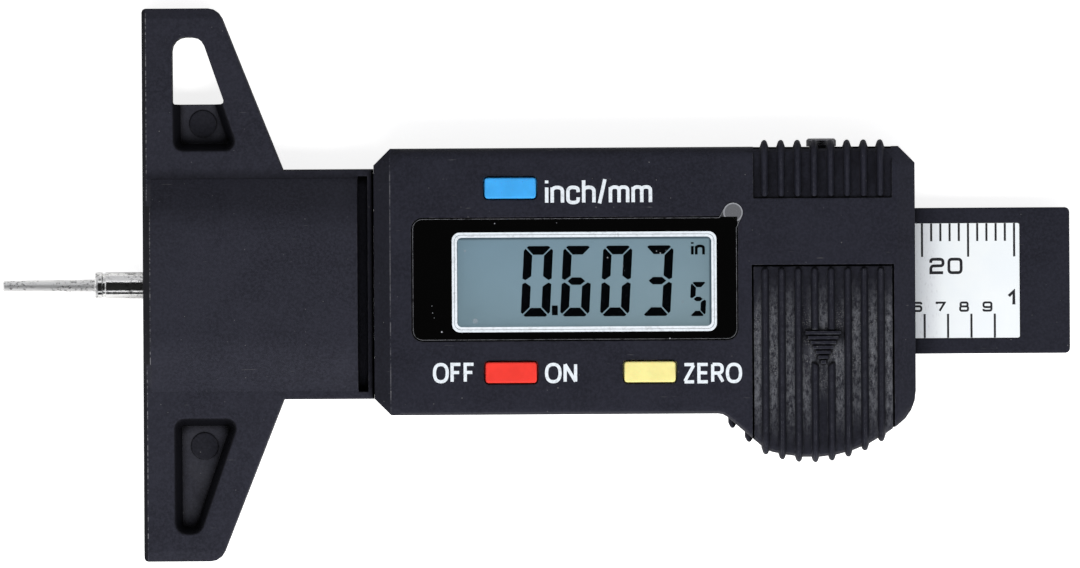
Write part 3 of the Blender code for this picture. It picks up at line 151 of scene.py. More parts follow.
NUMBERS = {
    "0": (((0, 0, BOWL), (1, 0, BOWL), (1, 1, BOWL), (0, 1, BOWL), (0, 0, BOWL)),),
    "1": (((0, 0.64), (1, 1), (1, 0)),),
    "2": (((0, 0.74), (0, 1, BOWL), (1, 1, BOWL), (1, 0.52, 0.2), (0, 0.50, 0.24), (0, 0),
           (1, 0)),),
    "3": (((0, 0.80), (0, 1, BOWL), (1, 1, BOWL), (1, 0.53, 0.2), (0.3, 0.53)),
          ((0.3, 0.53), (1, 0.53, 0.2), (1, 0, BOWL), (0, 0, BOWL), (0, 0.2))),
    "4": (((0.74, 0), (0.74, 1), (0, 0.28)), ((0, 0.28), (1, 0.28))),
    "5": (((1, 1), (0, 1), (0, 0.56), (1, 0.60, BOWL), (1, 0, BOWL), (0, 0, BOWL),
           (0, 0.2)),),
    "6": (((1, 0.80), (1, 1, BOWL), (0, 1, BOWL), (0, 0.4)),
          ((0, 0, BOWL), (1, 0, BOWL), (1, 0.57, BOWL), (0, 0.57, BOWL), (0, 0, BOWL))),
    "7": (((0, 0.84), (0, 1), (1, 1), (0.36, 0)),),
    "8": (((0.06, 0.53, 0.2), (0.94, 0.53, 0.2), (0.94, 1, 0.2), (0.06, 1, 0.2),
           (0.06, 0.53, 0.2)),
          ((0, 0, 0.24), (1, 0, 0.24), (1, 0.53, 0.24), (0, 0.53, 0.24), (0, 0, 0.24))),
    "9": (((0, 0.20), (0, 0, BOWL), (1, 0, BOWL), (1, 0.6)),
          ((0, 0.43, BOWL), (1, 0.43, BOWL), (1, 1, BOWL), (0, 1, BOWL), (0, 0.43, BOWL))),
}
WORD_GAP = 0.30
CORNER_STEPS = 6
SAME_POINT = 1e-6
MITRE_LIMIT = 0.5

# Studio: a dome's brightness is a product of ramps. Each runs along a direction, from one
# height to another, between two levels. Polished things show the second dome, with the dark
# camera overhead and the table's near edge.
DOME = (((0, 1, 0), -0.50, 0.50, 0.74, 0.12),
        ((0, 0, 1), 0.06, 0.20, 0.12, 1.0),
        ((0, 0, 1), 0.950, 0.985, 1.0, 0.03))
DOME_SHOWN = (((0, 1, 0), 0.56, 0.66, 1.0, 0.60),
              ((0, -0.233, 0.972), 0.760, 0.800, 1.0, 0.015),
              ((0, -0.970, 0.243), 0.968, 0.984, 1.0, 0.03))

# Floor: its half width in metres, its gap under the object, how bright its glow is for the
# camera, and the share of that glow in reflections. Lamp: its size and place in metres.
FLOOR_REACH = 4.0
FLOOR_GAP = 0.05
FLOOR_GLOW = 0.84
FLOOR_MIRRORED = 0.20
LAMP_WATTS = 0.77
LAMP_SIZE = 0.18
LAMP_PLACE = (0.015, -0.140, 0.255)
LAMP_COLOUR = (1.0, 0.99, 0.97)

# Worn and dirty places. A _SOFT or _FADE is how wide a border is, a _HALF is half a width.
#
# Base: x of the rubbed line behind the measuring edge, partly a painted highlight, on the wings
# and on the crown; where the bevel's painted shade ends before the line, and how wide the line
# is; the strip of painted shade beside the crown's foot, which fades from the first y to the
# second and reaches up to an x
WING_EDGE_X = 0.42
CROWN_EDGE_X = 0.80
CROWN_EDGE_HALF = 8.6
CROWN_EDGE_SOFT = 0.1
BASE_BEVEL_END = 0.05
BASE_BEVEL_SOFT = 0.04
BASE_LINE_BEFORE = 0.03
BASE_LINE_AFTER = 0.06
BASE_LINE_SOFT = 0.03
CROWN_FOOT_Y = (11.45, 12.95)
CROWN_FOOT_X = 23.4
CROWN_FOOT_SOFT = 0.2

# Pockets of the base: a place on a floor, and how far from that height dust is drawn. The walls
# lie beyond the least x, between two distances from the probe's line, and on this side of the
# slanted line on which x + POCKET_SLANT * distance is POCKET_SLANT_REACH. They get painted
# shade from a foot over the floor to a rim under the wing's face.
POCKET_FLOOR = (6.5, -22.0)
POCKET_DUST_HALF = 0.12
POCKET_DUST_SOFT = 0.08
POCKET_LEFT = 1.3
POCKET_NEAR = 13.9
POCKET_FAR = 28.2
POCKET_SLANT = 0.43
POCKET_SLANT_REACH = 18.5
POCKET_WALL_FOOT = 0.15
POCKET_WALL_RIM = 0.06
POCKET_WALL_SOFT = 0.04

# Housing: x, ends and width of the rubbed line at its left bevel, partly a painted highlight,
# and where that bevel gets painted shade; a valley between the ribs of the grip above the
# cover, how far above the cover the grip starts, and how far from the valley's height the
# valleys are darkened
HOUSING_EDGE_X = 26.86
HOUSING_EDGE_Y = (-13.7, 13.9)
HOUSING_EDGE_FADE = 0.6
HOUSING_LINE_HALF = 0.05
HOUSING_LINE_SOFT = 0.04
HOUSING_BEVEL_X = 24.0
HOUSING_BEVEL_END = 0.08
HOUSING_BEVEL_SOFT = 0.06
GRIP_VALLEY = (68.13, 11.5)
GRIP_START = 3.0
GRIP_VALLEY_HALF = 0.06
GRIP_VALLEY_SOFT = 0.02

# Battery cover: a valley between its ribs, how far below and above its height the chalk
# reaches, and how far chalk and the painted glints stay from the cover's lower and upper edge
COVER_VALLEY = (68.13, -6.0)
CHALK_BELOW = 1.5
CHALK_ABOVE = 0.04
CHALK_ENDS = (4.5, 3.5)
CHALK_FADE = 3.0
GLINT_ENDS = (8.5, 4.0)
GLINT_FADE = 2.2

# Probe: where its needle ends and its collar starts
NEEDLE_END = -5.0
NEEDLE_FADE = 0.1

# Label: where the housing's edge rubs it
LABEL_RUB_X = 84.0
LABEL_RUB_WIDTH = 2.3
LABEL_RUB_FADE = 0.5

# Film: its pull tab and how much the painted highlight round the tab shows, and its specks,
# each with x, y, radius and how much it shows
TAB_MIDDLE = (64.0, 7.52)
TAB_RADIUS = 1.05
TAB_RIM_SHOWN = 0.34
FILM_SPECKS = ((34.96, 3.52, 0.10, 0.9), (36.04, -4.07, 0.34, 0.16), (31.36, -2.42, 0.05, 0.6),
               (31.43, -3.18, 0.06, 0.6), (31.60, -3.72, 0.05, 0.5), (32.41, -5.24, 0.10, 1.0),
               (50.40, 2.71, 0.09, 0.7), (52.06, 1.79, 0.07, 0.6), (52.20, 1.30, 0.05, 0.5),
               (58.50, -2.12, 0.09, 0.8), (55.70, 3.38, 0.07, 0.8), (56.10, 3.16, 0.09, 0.9),
               (56.50, 2.98, 0.06, 0.7), (56.72, 3.45, 0.05, 0.6), (44.9, 6.5, 0.05, 0.5))

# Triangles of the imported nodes: corners nearer than this are welded, and edges below this
# angle, in degrees, are smooth
MERGE_DISTANCE = 0.001
SMOOTH_ANGLE = 32

# Radius with which the edges of each kind of material look rounded
PLASTIC_EDGE = 0.22
KEY_EDGE = 0.18
METAL_EDGE = 0.10
SOFT_EDGE = 0.12
FILM_EDGE = 0.13

# Heights of coarse, fine and printed grain; how near a wall has to be for painted shade in a
# hollow; direction of the scratches, in degrees; how deep light goes into a key; share of its
# colour that thin ink keeps; borders of the tab's veil and of the lens's paint; how far inside
# the white frame the display gets painted shade
GRAIN_HEIGHT = 0.03
FINE_HEIGHT = 0.02
PRINT_GRAIN = 0.01
HOLLOW_REACH = 1.1
SCRATCH_TURN = 24
KEY_DEPTH = 0.4
INK_THIN = 0.76
VEIL_SOFT = 0.03
PAINT_SOFT = 0.02
RIM_SHADE = 0.22
RIM_SHADE_SOFT = 0.10

# Colours; a metal's second colour is its tarnish
BLACK = (0.0215, 0.0221, 0.0312, 1)
HOUSING_BLACK = (0.0170, 0.0176, 0.0258, 1)
COVER_BLACK = (0.0158, 0.0163, 0.0232, 1)
BAR_BLACK = (0.0176, 0.0183, 0.0265, 1)
# Colour of worn edges, which there also stands for a painted highlight
RUBBED_AND_HIGHLIGHT = (0.095, 0.095, 0.105, 1)
BAR_RUBBED_AND_HIGHLIGHT = (0.070, 0.070, 0.078, 1)
CHALK = (0.150, 0.156, 0.176, 1)
BLUE = (0.056, 0.408, 0.900, 1)
RED = (0.880, 0.050, 0.036, 1)
YELLOW = (0.900, 0.820, 0.330, 1)
WHITE_INK = (0.78, 0.84, 0.90, 1)
BLACK_INK = (0.020, 0.020, 0.024, 1)
DIGIT_BLACK = (0.0015, 0.0020, 0.0028, 1)
STEEL = (0.92, 0.92, 0.91, 1)
SCREW = ((0.16, 0.16, 0.17, 1), (0.03, 0.03, 0.035, 1))
CONTACT = ((0.70, 0.68, 0.60, 1), (0.45, 0.40, 0.30, 1))
CELL = ((0.74, 0.74, 0.72, 1), (0.52, 0.51, 0.48, 1))
BRASS = ((0.78, 0.55, 0.24, 1), (0.40, 0.26, 0.10, 1))
COPPER = ((0.62, 0.40, 0.14, 1), (0.30, 0.20, 0.08, 1))
HOLDER_WHITE = (0.74, 0.74, 0.72, 1)
RUBBER_GREY = (0.42, 0.42, 0.42, 1)
EPOXY_BLACK = (0.012, 0.012, 0.013, 1)
BOARD_GREENS = ((0.012, 0.115, 0.040, 1), (0.020, 0.160, 0.055, 1))
LENS_TINT = (0.93, 0.95, 0.95, 1)
FILM_VEIL = (0.40, 0.41, 0.45, 1)
# Display: painted shade to the top left; DISPLAY_SHADE is the frame's painted shadow
DISPLAY_TOP_LEFT_SHADE = (0.248, 0.356, 0.448, 1)
DISPLAY_BOTTOM_RIGHT = (0.284, 0.376, 0.436, 1)
DISPLAY_CLOUD = (0.20, 0.285, 0.335, 1)
DISPLAY_GRAIN = (0.30, 0.38, 0.42, 1)
DISPLAY_SHADE = (0.100, 0.140, 0.175, 1)
LABEL_WHITES = ((0.88, 0.93, 0.97, 1), (0.92, 0.96, 0.98, 1))
LABEL_RUBBED = (0.80, 0.80, 0.93, 1)
LABEL_SPECK = (0.45, 0.45, 0.50, 1)


def spot(x, y, z):
    """A point given in millimetres from the measuring face, at a height in metres."""
    return Vector((FACE_X + x * MM, y * MM, z))


def top_of(node):
    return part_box(node)[1].z


def front_of(node, x, y):
    """Height of a node's front surface at a place given in millimetres."""
    above = spot(x, y, CAD_BOX[1].z + MM)
    found, place, _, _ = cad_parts[node].ray_cast(above, Vector((0, 0, -1)))
    if not found:
        raise ValueError(f"{node} has no surface under {x}, {y}")
    return place.z


class Nodes:
    """A node tree, with short calls for the nodes that are used most."""

    def __init__(self, tree):
        self.tree = tree
        tree.nodes.clear()

    def node(self, kind, inputs=None, **settings):
        made = self.tree.nodes.new(kind)
        for key, value in settings.items():
            setattr(made, key, value)
        for key, value in (inputs or {}).items():
            self.feed(made.inputs[key], value)
        return made

    def feed(self, socket, value):
        if isinstance(value, bpy.types.NodeSocket):
            self.tree.links.new(value, socket)
        else:
            socket.default_value = value

    def math(self, operation, *values, clamp=False):
        return self.node("ShaderNodeMath", dict(enumerate(values)), operation=operation,
                         use_clamp=clamp).outputs[0]

    def product(self, first, *others):
        for other in others:
            first = self.math("MULTIPLY", first, other)
        return first

    def vectors(self, operation, a, b):
        """The value that a vector operation gives."""
        return self.node("ShaderNodeVectorMath", {0: a, 1: b},
                         operation=operation).outputs["Value"]

    def limits(self, value, low, high, start=0.0, end=1.0):
        """Value remapped smoothly, so that low gives start and high gives end."""
        return self.node("ShaderNodeMapRange", {
            "Value": value, "From Min": low, "From Max": high, "To Min": start,
            "To Max": end}, interpolation_type="SMOOTHSTEP").outputs[0]


class Shader(Nodes):
    """A material's nodes, with the patterns and masks that the materials share."""

    def __init__(self, name):
        self.material = bpy.data.materials.new(name)
        self.material.use_nodes = True
        super().__init__(self.material.node_tree)
        self.place = self.node("ShaderNodeTexCoord").outputs["Object"]

    def noise(self, scale, detail=3.0, roughness=0.5, place=None):
        return self.node("ShaderNodeTexNoise", {
            "Vector": place or self.place, "Scale": scale, "Detail": detail,
            "Roughness": roughness}).outputs["Fac"]

    def stretched(self, scale, turn=0.0):
        """The object's coordinates with each axis scaled, for streaks."""
        return self.node("ShaderNodeMapping", {
            "Vector": self.place, "Rotation": (0, 0, math.radians(turn)),
            "Scale": scale}).outputs[0]

    def mix(self, share, a, b):
        made = self.node("ShaderNodeMix", data_type="RGBA")
        self.feed(made.inputs[0], share)
        self.feed(made.inputs[6], a)
        self.feed(made.inputs[7], b)
        return made.outputs[2]

    def axis(self, name):
        return self.node("ShaderNodeSeparateXYZ", {0: self.place}).outputs[name]

    def within(self, axis, low, high, soft):
        """1 between two places along an axis, with soft ends."""
        value = self.axis(axis)
        rise = self.limits(value, low - soft, low + soft)
        fall = self.limits(value, high - soft, high + soft, 1.0, 0.0)
        return self.product(rise, fall)

    def rectangle(self, low, high, soft):
        """1 inside a rectangle seen from the front."""
        return self.product(self.within("X", low.x, high.x, soft),
                            self.within("Y", low.y, high.y, soft))

    def distance(self, point):
        return self.vectors("DISTANCE", self.place, point)

    def specks(self, scale, share, size):
        """Sparse round specks: a share of the cells of a Voronoi pattern has one."""
        cells = self.node("ShaderNodeTexVoronoi", {"Vector": self.place, "Scale": scale})
        chosen = self.node("ShaderNodeSeparateColor", {0: cells.outputs["Color"]}).outputs[0]
        present = self.math("GREATER_THAN", chosen, 1.0 - share)
        inside = self.limits(cells.outputs["Distance"], size * 0.5, size, 1.0, 0.0)
        return self.product(present, inside)

    def rounded_edges(self, radius):
        return self.node("ShaderNodeBevel", {"Radius": radius}, samples=6).outputs[0]

    def edges(self, rounded):
        """1 along sharp edges, where the rounded normal leaves the true one."""
        true = self.node("ShaderNodeNewGeometry").outputs["Normal"]
        return self.limits(self.vectors("DOT_PRODUCT", rounded, true), 0.80, 0.985, 1.0, 0.0)

    def hollows(self, reach):
        """Share of the colour kept: 0 deep in grooves and at the foot of walls, where shade is
        painted nearly black, 1 in the open.
        """
        open_share = self.node("ShaderNodeAmbientOcclusion", {"Distance": reach},
                               samples=6).outputs["AO"]
        return self.limits(open_share, 0.42, 0.90)

    def bump(self, height, strength, distance, normal=None):
        inputs = {"Height": height, "Strength": strength, "Distance": distance}
        if normal is not None:
            inputs["Normal"] = normal
        return self.node("ShaderNodeBump", inputs).outputs[0]

    def principled(self, **inputs):
        names = {key.replace("_", " "): value for key, value in inputs.items()}
        return self.node("ShaderNodeBsdfPrincipled", names).outputs[0]

    def finish(self, surface):
        self.node("ShaderNodeOutputMaterial", {"Surface": surface})
        return self.material


def grey(level, blue=0.0):
    return (level, level, level * (1 + blue), 1.0)


def shaded(colour, share):
    """The colour made darker, or lighter where the share is over 1."""
    return tuple(part * share for part in colour[:3]) + (1.0,)


def moulded_plastic(name, colour, worn, roughness, grain=0.25, wear_and_highlight=0.55, chalk=0.0,
                    marks=None):
    """Black injection-moulded plastic with fine grain, dust, scratches, worn edges that are
    partly a painted highlight, and painted shade in grooves.

    wear_and_highlight is the share of the worn colour on the edges, where it is partly a
    painted highlight, and chalk its share in the cover's valleys. marks is a function that
    gives how dark and how bright the part is marked.
    """
    s = Shader(name)
    patches = s.limits(s.noise(150, 5, 0.66), 0.34, 0.66)
    mottled = s.limits(s.noise(3200, 3, 0.70), 0.34, 0.68)
    base = s.mix(patches, shaded(colour, 0.76), colour)
    base = s.mix(s.product(mottled, 0.70), base, shaded(colour, 1.42))

    rounded = s.rounded_edges(PLASTIC_EDGE * MM)
    # Worn edges: partly real wear, partly a painted highlight along every sharp edge
    rubbed_and_highlight = s.product(s.edges(rounded), s.limits(s.noise(1500, 4, 0.7), 0.44, 0.66))
    base = s.mix(s.product(rubbed_and_highlight, wear_and_highlight), base, worn)
    dust = s.product(s.specks(2600, 0.030, 0.20), s.limits(s.noise(700, 2), 0.3, 0.7), 0.5)
    base = s.mix(dust, base, grey(0.30))
    streak = s.noise(1.0, 2, 0.5, s.stretched((380, 5200, 900), SCRATCH_TURN))
    scratch = s.product(s.limits(streak, 0.735, 0.80), 0.35)
    base = s.mix(scratch, base, grey(0.16))
    if chalk:
        base = scuffed_valleys(s, base, worn, chalk)
    if marks:
        # Dark marks are mostly painted shade; bright marks are partly a painted highlight
        dark, bright = marks(s)
        base = s.mix(dark, base, grey(0.0025, 0.3))
        base = s.mix(bright, base, grey(0.22, 0.08))
    # Painted shade: grooves and the foot of walls are painted nearly black
    base = s.mix(s.hollows(HOLLOW_REACH * MM), grey(0.0012), base)

    uneven = s.limits(s.noise(140, 5, 0.6), 0.3, 0.7, roughness - 0.05, roughness + 0.07)
    uneven = s.math("SUBTRACT", uneven, s.product(rubbed_and_highlight, 0.10))
    height = s.math("ADD", s.noise(5200, 2, 0.55), s.product(s.noise(260, 3), 0.7))
    normal = s.bump(height, grain, GRAIN_HEIGHT * MM, rounded)
    return s.finish(s.principled(Base_Color=base, Roughness=uneven, Normal=normal,
                                 Specular_IOR_Level=0.11))


def scuffed_valleys(s, base, worn, amount):
    """Chalky scuffs between the cover's ribs, strongest half way down, with bright specks that
    are painted glints.
    """
    low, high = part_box("battery_cover")
    below, above = CHALK_ENDS
    valley_z = front_of("battery_cover", *COVER_VALLEY)
    valleys = s.product(s.within("Y", low.y + below * MM, high.y - above * MM, CHALK_FADE * MM),
                        s.math("LESS_THAN", s.axis("Z"), valley_z + CHALK_ABOVE * MM),
                        s.math("GREATER_THAN", s.axis("Z"), valley_z - CHALK_BELOW * MM))
    bands = s.limits(s.noise(1.0, 2, 0.5, s.stretched((330, 60, 60))), 0.34, 0.54)
    blotches = s.limits(s.noise(1.0, 5, 0.80, s.stretched((3600, 1500, 1500))), 0.36, 0.66)
    base = s.mix(s.product(blotches, valleys, bands, amount), base, worn)

    # Painted glints: bright specks in the valleys
    below, above = GLINT_ENDS
    middle = s.within("Y", low.y + below * MM, high.y - above * MM, GLINT_FADE * MM)
    painted_glint = s.product(s.limits(s.noise(6400, 3, 0.8), 0.575, 0.66), valleys, middle,
                        s.limits(s.noise(700, 3, 0.6), 0.42, 0.58))
    return s.mix(s.product(painted_glint, 0.85), base, grey(0.34))


def base_marks(s):
    """How dark and how bright the base is marked.

    Dark is painted shade on the bevel, in the strip beside the crown's foot and on the pockets'
    walls. Bright are the broken worn line, which is partly a painted highlight, and the dust on
    the pockets' floors.
    """
    crown = s.within("Y", -CROWN_EDGE_HALF * MM, CROWN_EDGE_HALF * MM, CROWN_EDGE_SOFT * MM)
    wings = s.math("SUBTRACT", 1.0, crown)
    bevels, lines = [], []
    # Painted shade on the bevel, and the worn line behind it, which is partly a painted
    # highlight
    for line_x, share in ((WING_EDGE_X, wings), (CROWN_EDGE_X, crown)):
        line = FACE_X + line_x * MM
        bevel = s.within("X", FACE_X - MM, line - BASE_BEVEL_END * MM, BASE_BEVEL_SOFT * MM)
        edge = s.within("X", line - BASE_LINE_BEFORE * MM, line + BASE_LINE_AFTER * MM,
                        BASE_LINE_SOFT * MM)
        broken = s.limits(s.noise(1.0, 4, 0.75, s.stretched((400, 1900, 400))), 0.47, 0.60)
        bevels.append(s.product(bevel, share))
        lines.append(s.product(edge, share, broken))
    dark = s.product(s.math("ADD", *bevels, clamp=True), 0.72)
    rubbed_and_highlight = s.product(s.math("ADD", *lines, clamp=True), 0.75)

    # Painted shade in the strip beside the crown's foot
    start, end = CROWN_FOOT_Y
    foot = s.product(s.math("GREATER_THAN", s.axis("Y"), start * MM),
                     s.within("X", FACE_X, FACE_X + CROWN_FOOT_X * MM, CROWN_FOOT_SOFT * MM),
                     s.limits(s.axis("Y"), start * MM, end * MM, 0.50, 0.0))
    floor_z = front_of("t_base", *POCKET_FLOOR)
    # Painted shade on the pockets' walls
    walls = s.product(pocket_walls(s, floor_z), 0.82)
    floors = s.within("Z", floor_z - POCKET_DUST_HALF * MM, floor_z + POCKET_DUST_HALF * MM,
                      POCKET_DUST_SOFT * MM)
    dust = s.product(floors, s.limits(s.noise(500, 3), 0.3, 0.7, 0.045, 0.085))
    dark = s.math("MAXIMUM", s.math("MAXIMUM", dark, foot), walls)
    return dark, s.math("MAXIMUM", rubbed_and_highlight, dust)


def pocket_walls(s, floor_z):
    """1 on the drafted walls and the rounded rims of the base's pockets."""
    away = s.math("ABSOLUTE", s.axis("Y"))
    along = s.math("SUBTRACT", s.axis("X"), FACE_X)
    slanted = s.math("ADD", along, s.product(away, POCKET_SLANT))
    inside = s.product(s.math("GREATER_THAN", along, POCKET_LEFT * MM),
                       s.math("LESS_THAN", slanted, POCKET_SLANT_REACH * MM),
                       s.math("GREATER_THAN", away, POCKET_NEAR * MM),
                       s.math("LESS_THAN", away, POCKET_FAR * MM))
    wing_z = front_of("t_base", POCKET_LEFT, POCKET_NEAR)
    return s.product(inside, s.within("Z", floor_z + POCKET_WALL_FOOT * MM,
                                      wing_z - POCKET_WALL_RIM * MM, POCKET_WALL_SOFT * MM))


def housing_marks(s):
    """How dark and how bright the housing is marked.

    Dark are the left bevel, with painted shade, and patches in the valleys between the grip's
    ribs. Bright is the broken worn line, partly a painted highlight, where the front meets that
    bevel.
    """
    # The worn line at the bevel is partly a painted highlight
    line = FACE_X + HOUSING_EDGE_X * MM
    start, end = HOUSING_EDGE_Y
    edge = s.within("X", line - HOUSING_LINE_HALF * MM, line + HOUSING_LINE_HALF * MM,
                    HOUSING_LINE_SOFT * MM)
    ends = s.within("Y", start * MM, end * MM, HOUSING_EDGE_FADE * MM)
    broken = s.limits(s.noise(1.0, 4, 0.75, s.stretched((300, 900, 300))), 0.40, 0.62)
    rubbed_and_highlight = s.product(edge, ends, broken, 0.40)
    # Painted shade on the left bevel
    bevel = s.product(s.within("X", FACE_X + HOUSING_BEVEL_X * MM,
                               line - HOUSING_BEVEL_END * MM, HOUSING_BEVEL_SOFT * MM), 0.30)

    low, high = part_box("battery_cover")
    valley_z = front_of("front_housing", *GRIP_VALLEY)
    valleys = s.product(s.math("GREATER_THAN", s.axis("Y"), high.y + GRIP_START * MM),
                        s.within("Z", valley_z - GRIP_VALLEY_HALF * MM,
                                 valley_z + GRIP_VALLEY_HALF * MM, GRIP_VALLEY_SOFT * MM),
                        s.within("X", low.x, high.x, GRIP_VALLEY_SOFT * MM))
    # Patchy darkening in the grip's valleys
    valley_darkening = s.limits(s.noise(1.0, 3, 0.6, s.stretched((500, 160, 160))), 0.35, 0.65, 0.15, 0.60)
    return s.math("MAXIMUM", bevel, s.product(valleys, valley_darkening)), rubbed_and_highlight


def key_plastic(name, colour):
    """Coloured key: slightly waxy, with paler rims that are a painted highlight, and a few dark
    specks.
    """
    s = Shader(name)
    rounded = s.rounded_edges(KEY_EDGE * MM)
    # Painted highlight: the key's edges are painted paler
    rim_highlight = s.product(s.edges(rounded), 0.45)
    highlight_colour = tuple(part * 0.7 + 0.30 for part in colour[:3]) + (1.0,)
    base = s.mix(s.limits(s.noise(420, 3, 0.6), 0.3, 0.75), shaded(colour, 0.88), colour)
    base = s.mix(rim_highlight, base, highlight_colour)
    base = s.mix(s.product(s.specks(2600, 0.03, 0.22), 0.5), base, grey(0.15))
    rough = s.limits(s.noise(700, 3), 0.3, 0.7, 0.36, 0.48)
    normal = s.bump(s.noise(4200, 2), 0.10, FINE_HEIGHT * MM, rounded)
    return s.finish(s.principled(Base_Color=base, Roughness=rough, Normal=normal,
                                 Specular_IOR_Level=0.25, Subsurface_Weight=0.08,
                                 Subsurface_Scale=KEY_DEPTH * MM))


def polished_steel(name, tint):
    """Probe and pin: a ground, slightly pitted needle and a polished collar behind it."""
    s = Shader(name)
    needle_x = FACE_X + NEEDLE_END * MM
    ground = s.limits(s.axis("X"), needle_x, needle_x + NEEDLE_FADE * MM, 1.0, 0.0)
    rings = s.noise(1.0, 3, 0.6, s.stretched((7000, 500, 500)))
    mottle = s.noise(1.0, 4, 0.72, s.stretched((2300, 3600, 3600)))
    pits = s.product(s.limits(mottle, 0.52, 0.62), s.limits(s.noise(330, 2), 0.42, 0.60), 0.75)
    stain = s.limits(s.noise(520, 4, 0.7), 0.52, 0.74)
    base = s.mix(s.product(stain, 0.25), tint, shaded(tint, 0.40))
    base = s.mix(pits, base, grey(0.06))
    rough = s.math("ADD", s.limits(rings, 0.3, 0.7, 0.05, 0.12), s.product(ground, 0.46))
    height = s.math("ADD", s.product(rings, 0.3), mottle)
    normal = s.bump(height, 0.40, GRAIN_HEIGHT * MM, s.rounded_edges(METAL_EDGE * MM))
    return s.finish(s.principled(Base_Color=base, Metallic=1.0, Roughness=rough,
                                 Normal=normal))


def plain_metal(name, colours, roughness):
    """Rolled sheet or turned metal with streaks and a little tarnish."""
    tint, tarnish = colours
    s = Shader(name)
    streak = s.noise(1.0, 3, 0.6, s.stretched((400, 6000, 2500)))
    spots = s.limits(s.noise(300, 4, 0.6), 0.5, 0.8)
    base = s.mix(s.product(spots, 0.6), tint, tarnish)
    rough = s.limits(streak, 0.25, 0.75, roughness * 0.75, roughness * 1.4)
    normal = s.bump(streak, 0.10, FINE_HEIGHT * MM, s.rounded_edges(METAL_EDGE * MM))
    return s.finish(s.principled(Base_Color=base, Metallic=1.0, Roughness=rough,
                                 Normal=normal))


def window_lens(name, low, high):
    """Clear glossy lens, painted black behind except between low and high.

    Light passes to the display through the whole lens, so that its inside stays bright.
    """
    s = Shader(name)
    smudge = s.limits(s.noise(160, 4, 0.6), 0.35, 0.75, 0.03, 0.09)
    black = s.principled(Base_Color=grey(0.0015), Roughness=smudge, Specular_IOR_Level=0.25)
    clear = s.node("ShaderNodeBsdfTransparent", {"Color": LENS_TINT}).outputs[0]
    gloss = s.node("ShaderNodeBsdfGlossy", {"Roughness": 0.04}).outputs[0]
    grazing = s.node("ShaderNodeLayerWeight", {"Blend": 0.5}).outputs["Facing"]
    shine = s.math("MULTIPLY_ADD", s.math("POWER", grazing, 5.0), 0.8, 0.012)
    glass = s.node("ShaderNodeMixShader", {0: shine, 1: clear, 2: gloss}).outputs[0]
    opening = s.rectangle(low, high, PAINT_SOFT * MM)
    passing = s.node("ShaderNodeLightPath").outputs["Is Shadow Ray"]
    open_share = s.math("MAXIMUM", opening, passing)
    return s.finish(s.node("ShaderNodeMixShader",
                           {0: open_share, 1: black, 2: glass}).outputs[0])


def protective_film(name, low, high):
    """Thin clear film with a greyish pull tab ringed by a painted highlight, an edge with dust
    and a painted highlight, and a few specks.

    low and high are the lens's corners, inside which the tab's veil isn't drawn.
    """
    s = Shader(name)
    lens_area = s.rectangle(low, high, VEIL_SOFT * MM)
    # The film's edges: dust, and partly a painted highlight
    border = s.edges(s.rounded_edges(FILM_EDGE * MM))
    dust_and_highlight = s.product(border, s.limits(s.noise(1900, 4, 0.7), 0.26, 0.62), 0.45)
    specks = s.specks(900, 0.010, 0.08)
    film_z = top_of("window_film")
    for x, y, radius, share in FILM_SPECKS:
        away = s.distance(spot(x, y, film_z))
        speck = s.limits(away, radius * 0.6 * MM, radius * 1.1 * MM, share, 0.0)
        specks = s.math("MAXIMUM", specks, speck)

    away = s.distance(spot(*TAB_MIDDLE, film_z))
    radius = TAB_RADIUS * MM
    lobe = s.limits(away, radius * 0.94, radius * 1.02, 0.18, 0.06)
    # Painted highlight round the tab
    rim_highlight = s.product(s.limits(away, radius * 0.84, radius * 0.90),
                    s.limits(away, radius * 1.00, radius * 1.04, 1.0, 0.0), TAB_RIM_SHOWN)
    tab = s.product(s.math("ADD", lobe, rim_highlight), s.math("SUBTRACT", 1.0, lens_area))
    shown = s.math("ADD", dust_and_highlight, s.product(specks, 0.9))
    shown = s.math("ADD", shown, tab, clamp=True)
    clear = s.node("ShaderNodeBsdfTransparent").outputs[0]
    veil = s.principled(Base_Color=FILM_VEIL, Roughness=0.30, Specular_IOR_Level=0.2)
    return s.finish(s.node("ShaderNodeMixShader", {0: shown, 1: clear, 2: veil}).outputs[0])


def liquid_crystal(name, low, high):
    """Cloudy blue-grey reflector, lighter to the bottom right, with painted shade to the top
    left and a painted shadow beside the frame.
    """
    s = Shader(name)
    # Painted shade: the display is darker towards the top left
    along = s.limits(s.axis("X"), low.x, high.x)
    down = s.limits(s.axis("Y"), low.y, high.y, 1.0, 0.0)
    share = s.product(s.math("ADD", along, down), 0.5)
    base = s.mix(share, DISPLAY_TOP_LEFT_SHADE, DISPLAY_BOTTOM_RIGHT)
    cloud = s.limits(s.noise(120, 3, 0.6), 0.3, 0.75)
    base = s.mix(s.product(cloud, 0.25), base, DISPLAY_CLOUD)
    base = s.mix(s.product(s.noise(9000, 1), 0.12), base, DISPLAY_GRAIN)
    # Painted shadow of the frame along the display's left, top and right
    left, bottom, right, top = FRAME_OUTER
    inset = FRAME_LINE + RIM_SHADE
    lit = s.rectangle(spot(left + inset * 0.8, bottom, 0), spot(right - inset, top - inset, 0),
                      RIM_SHADE_SOFT * MM)
    base = s.mix(lit, DISPLAY_SHADE, base)
    return s.finish(s.principled(Base_Color=base, Roughness=0.42, Specular_IOR_Level=0.2))


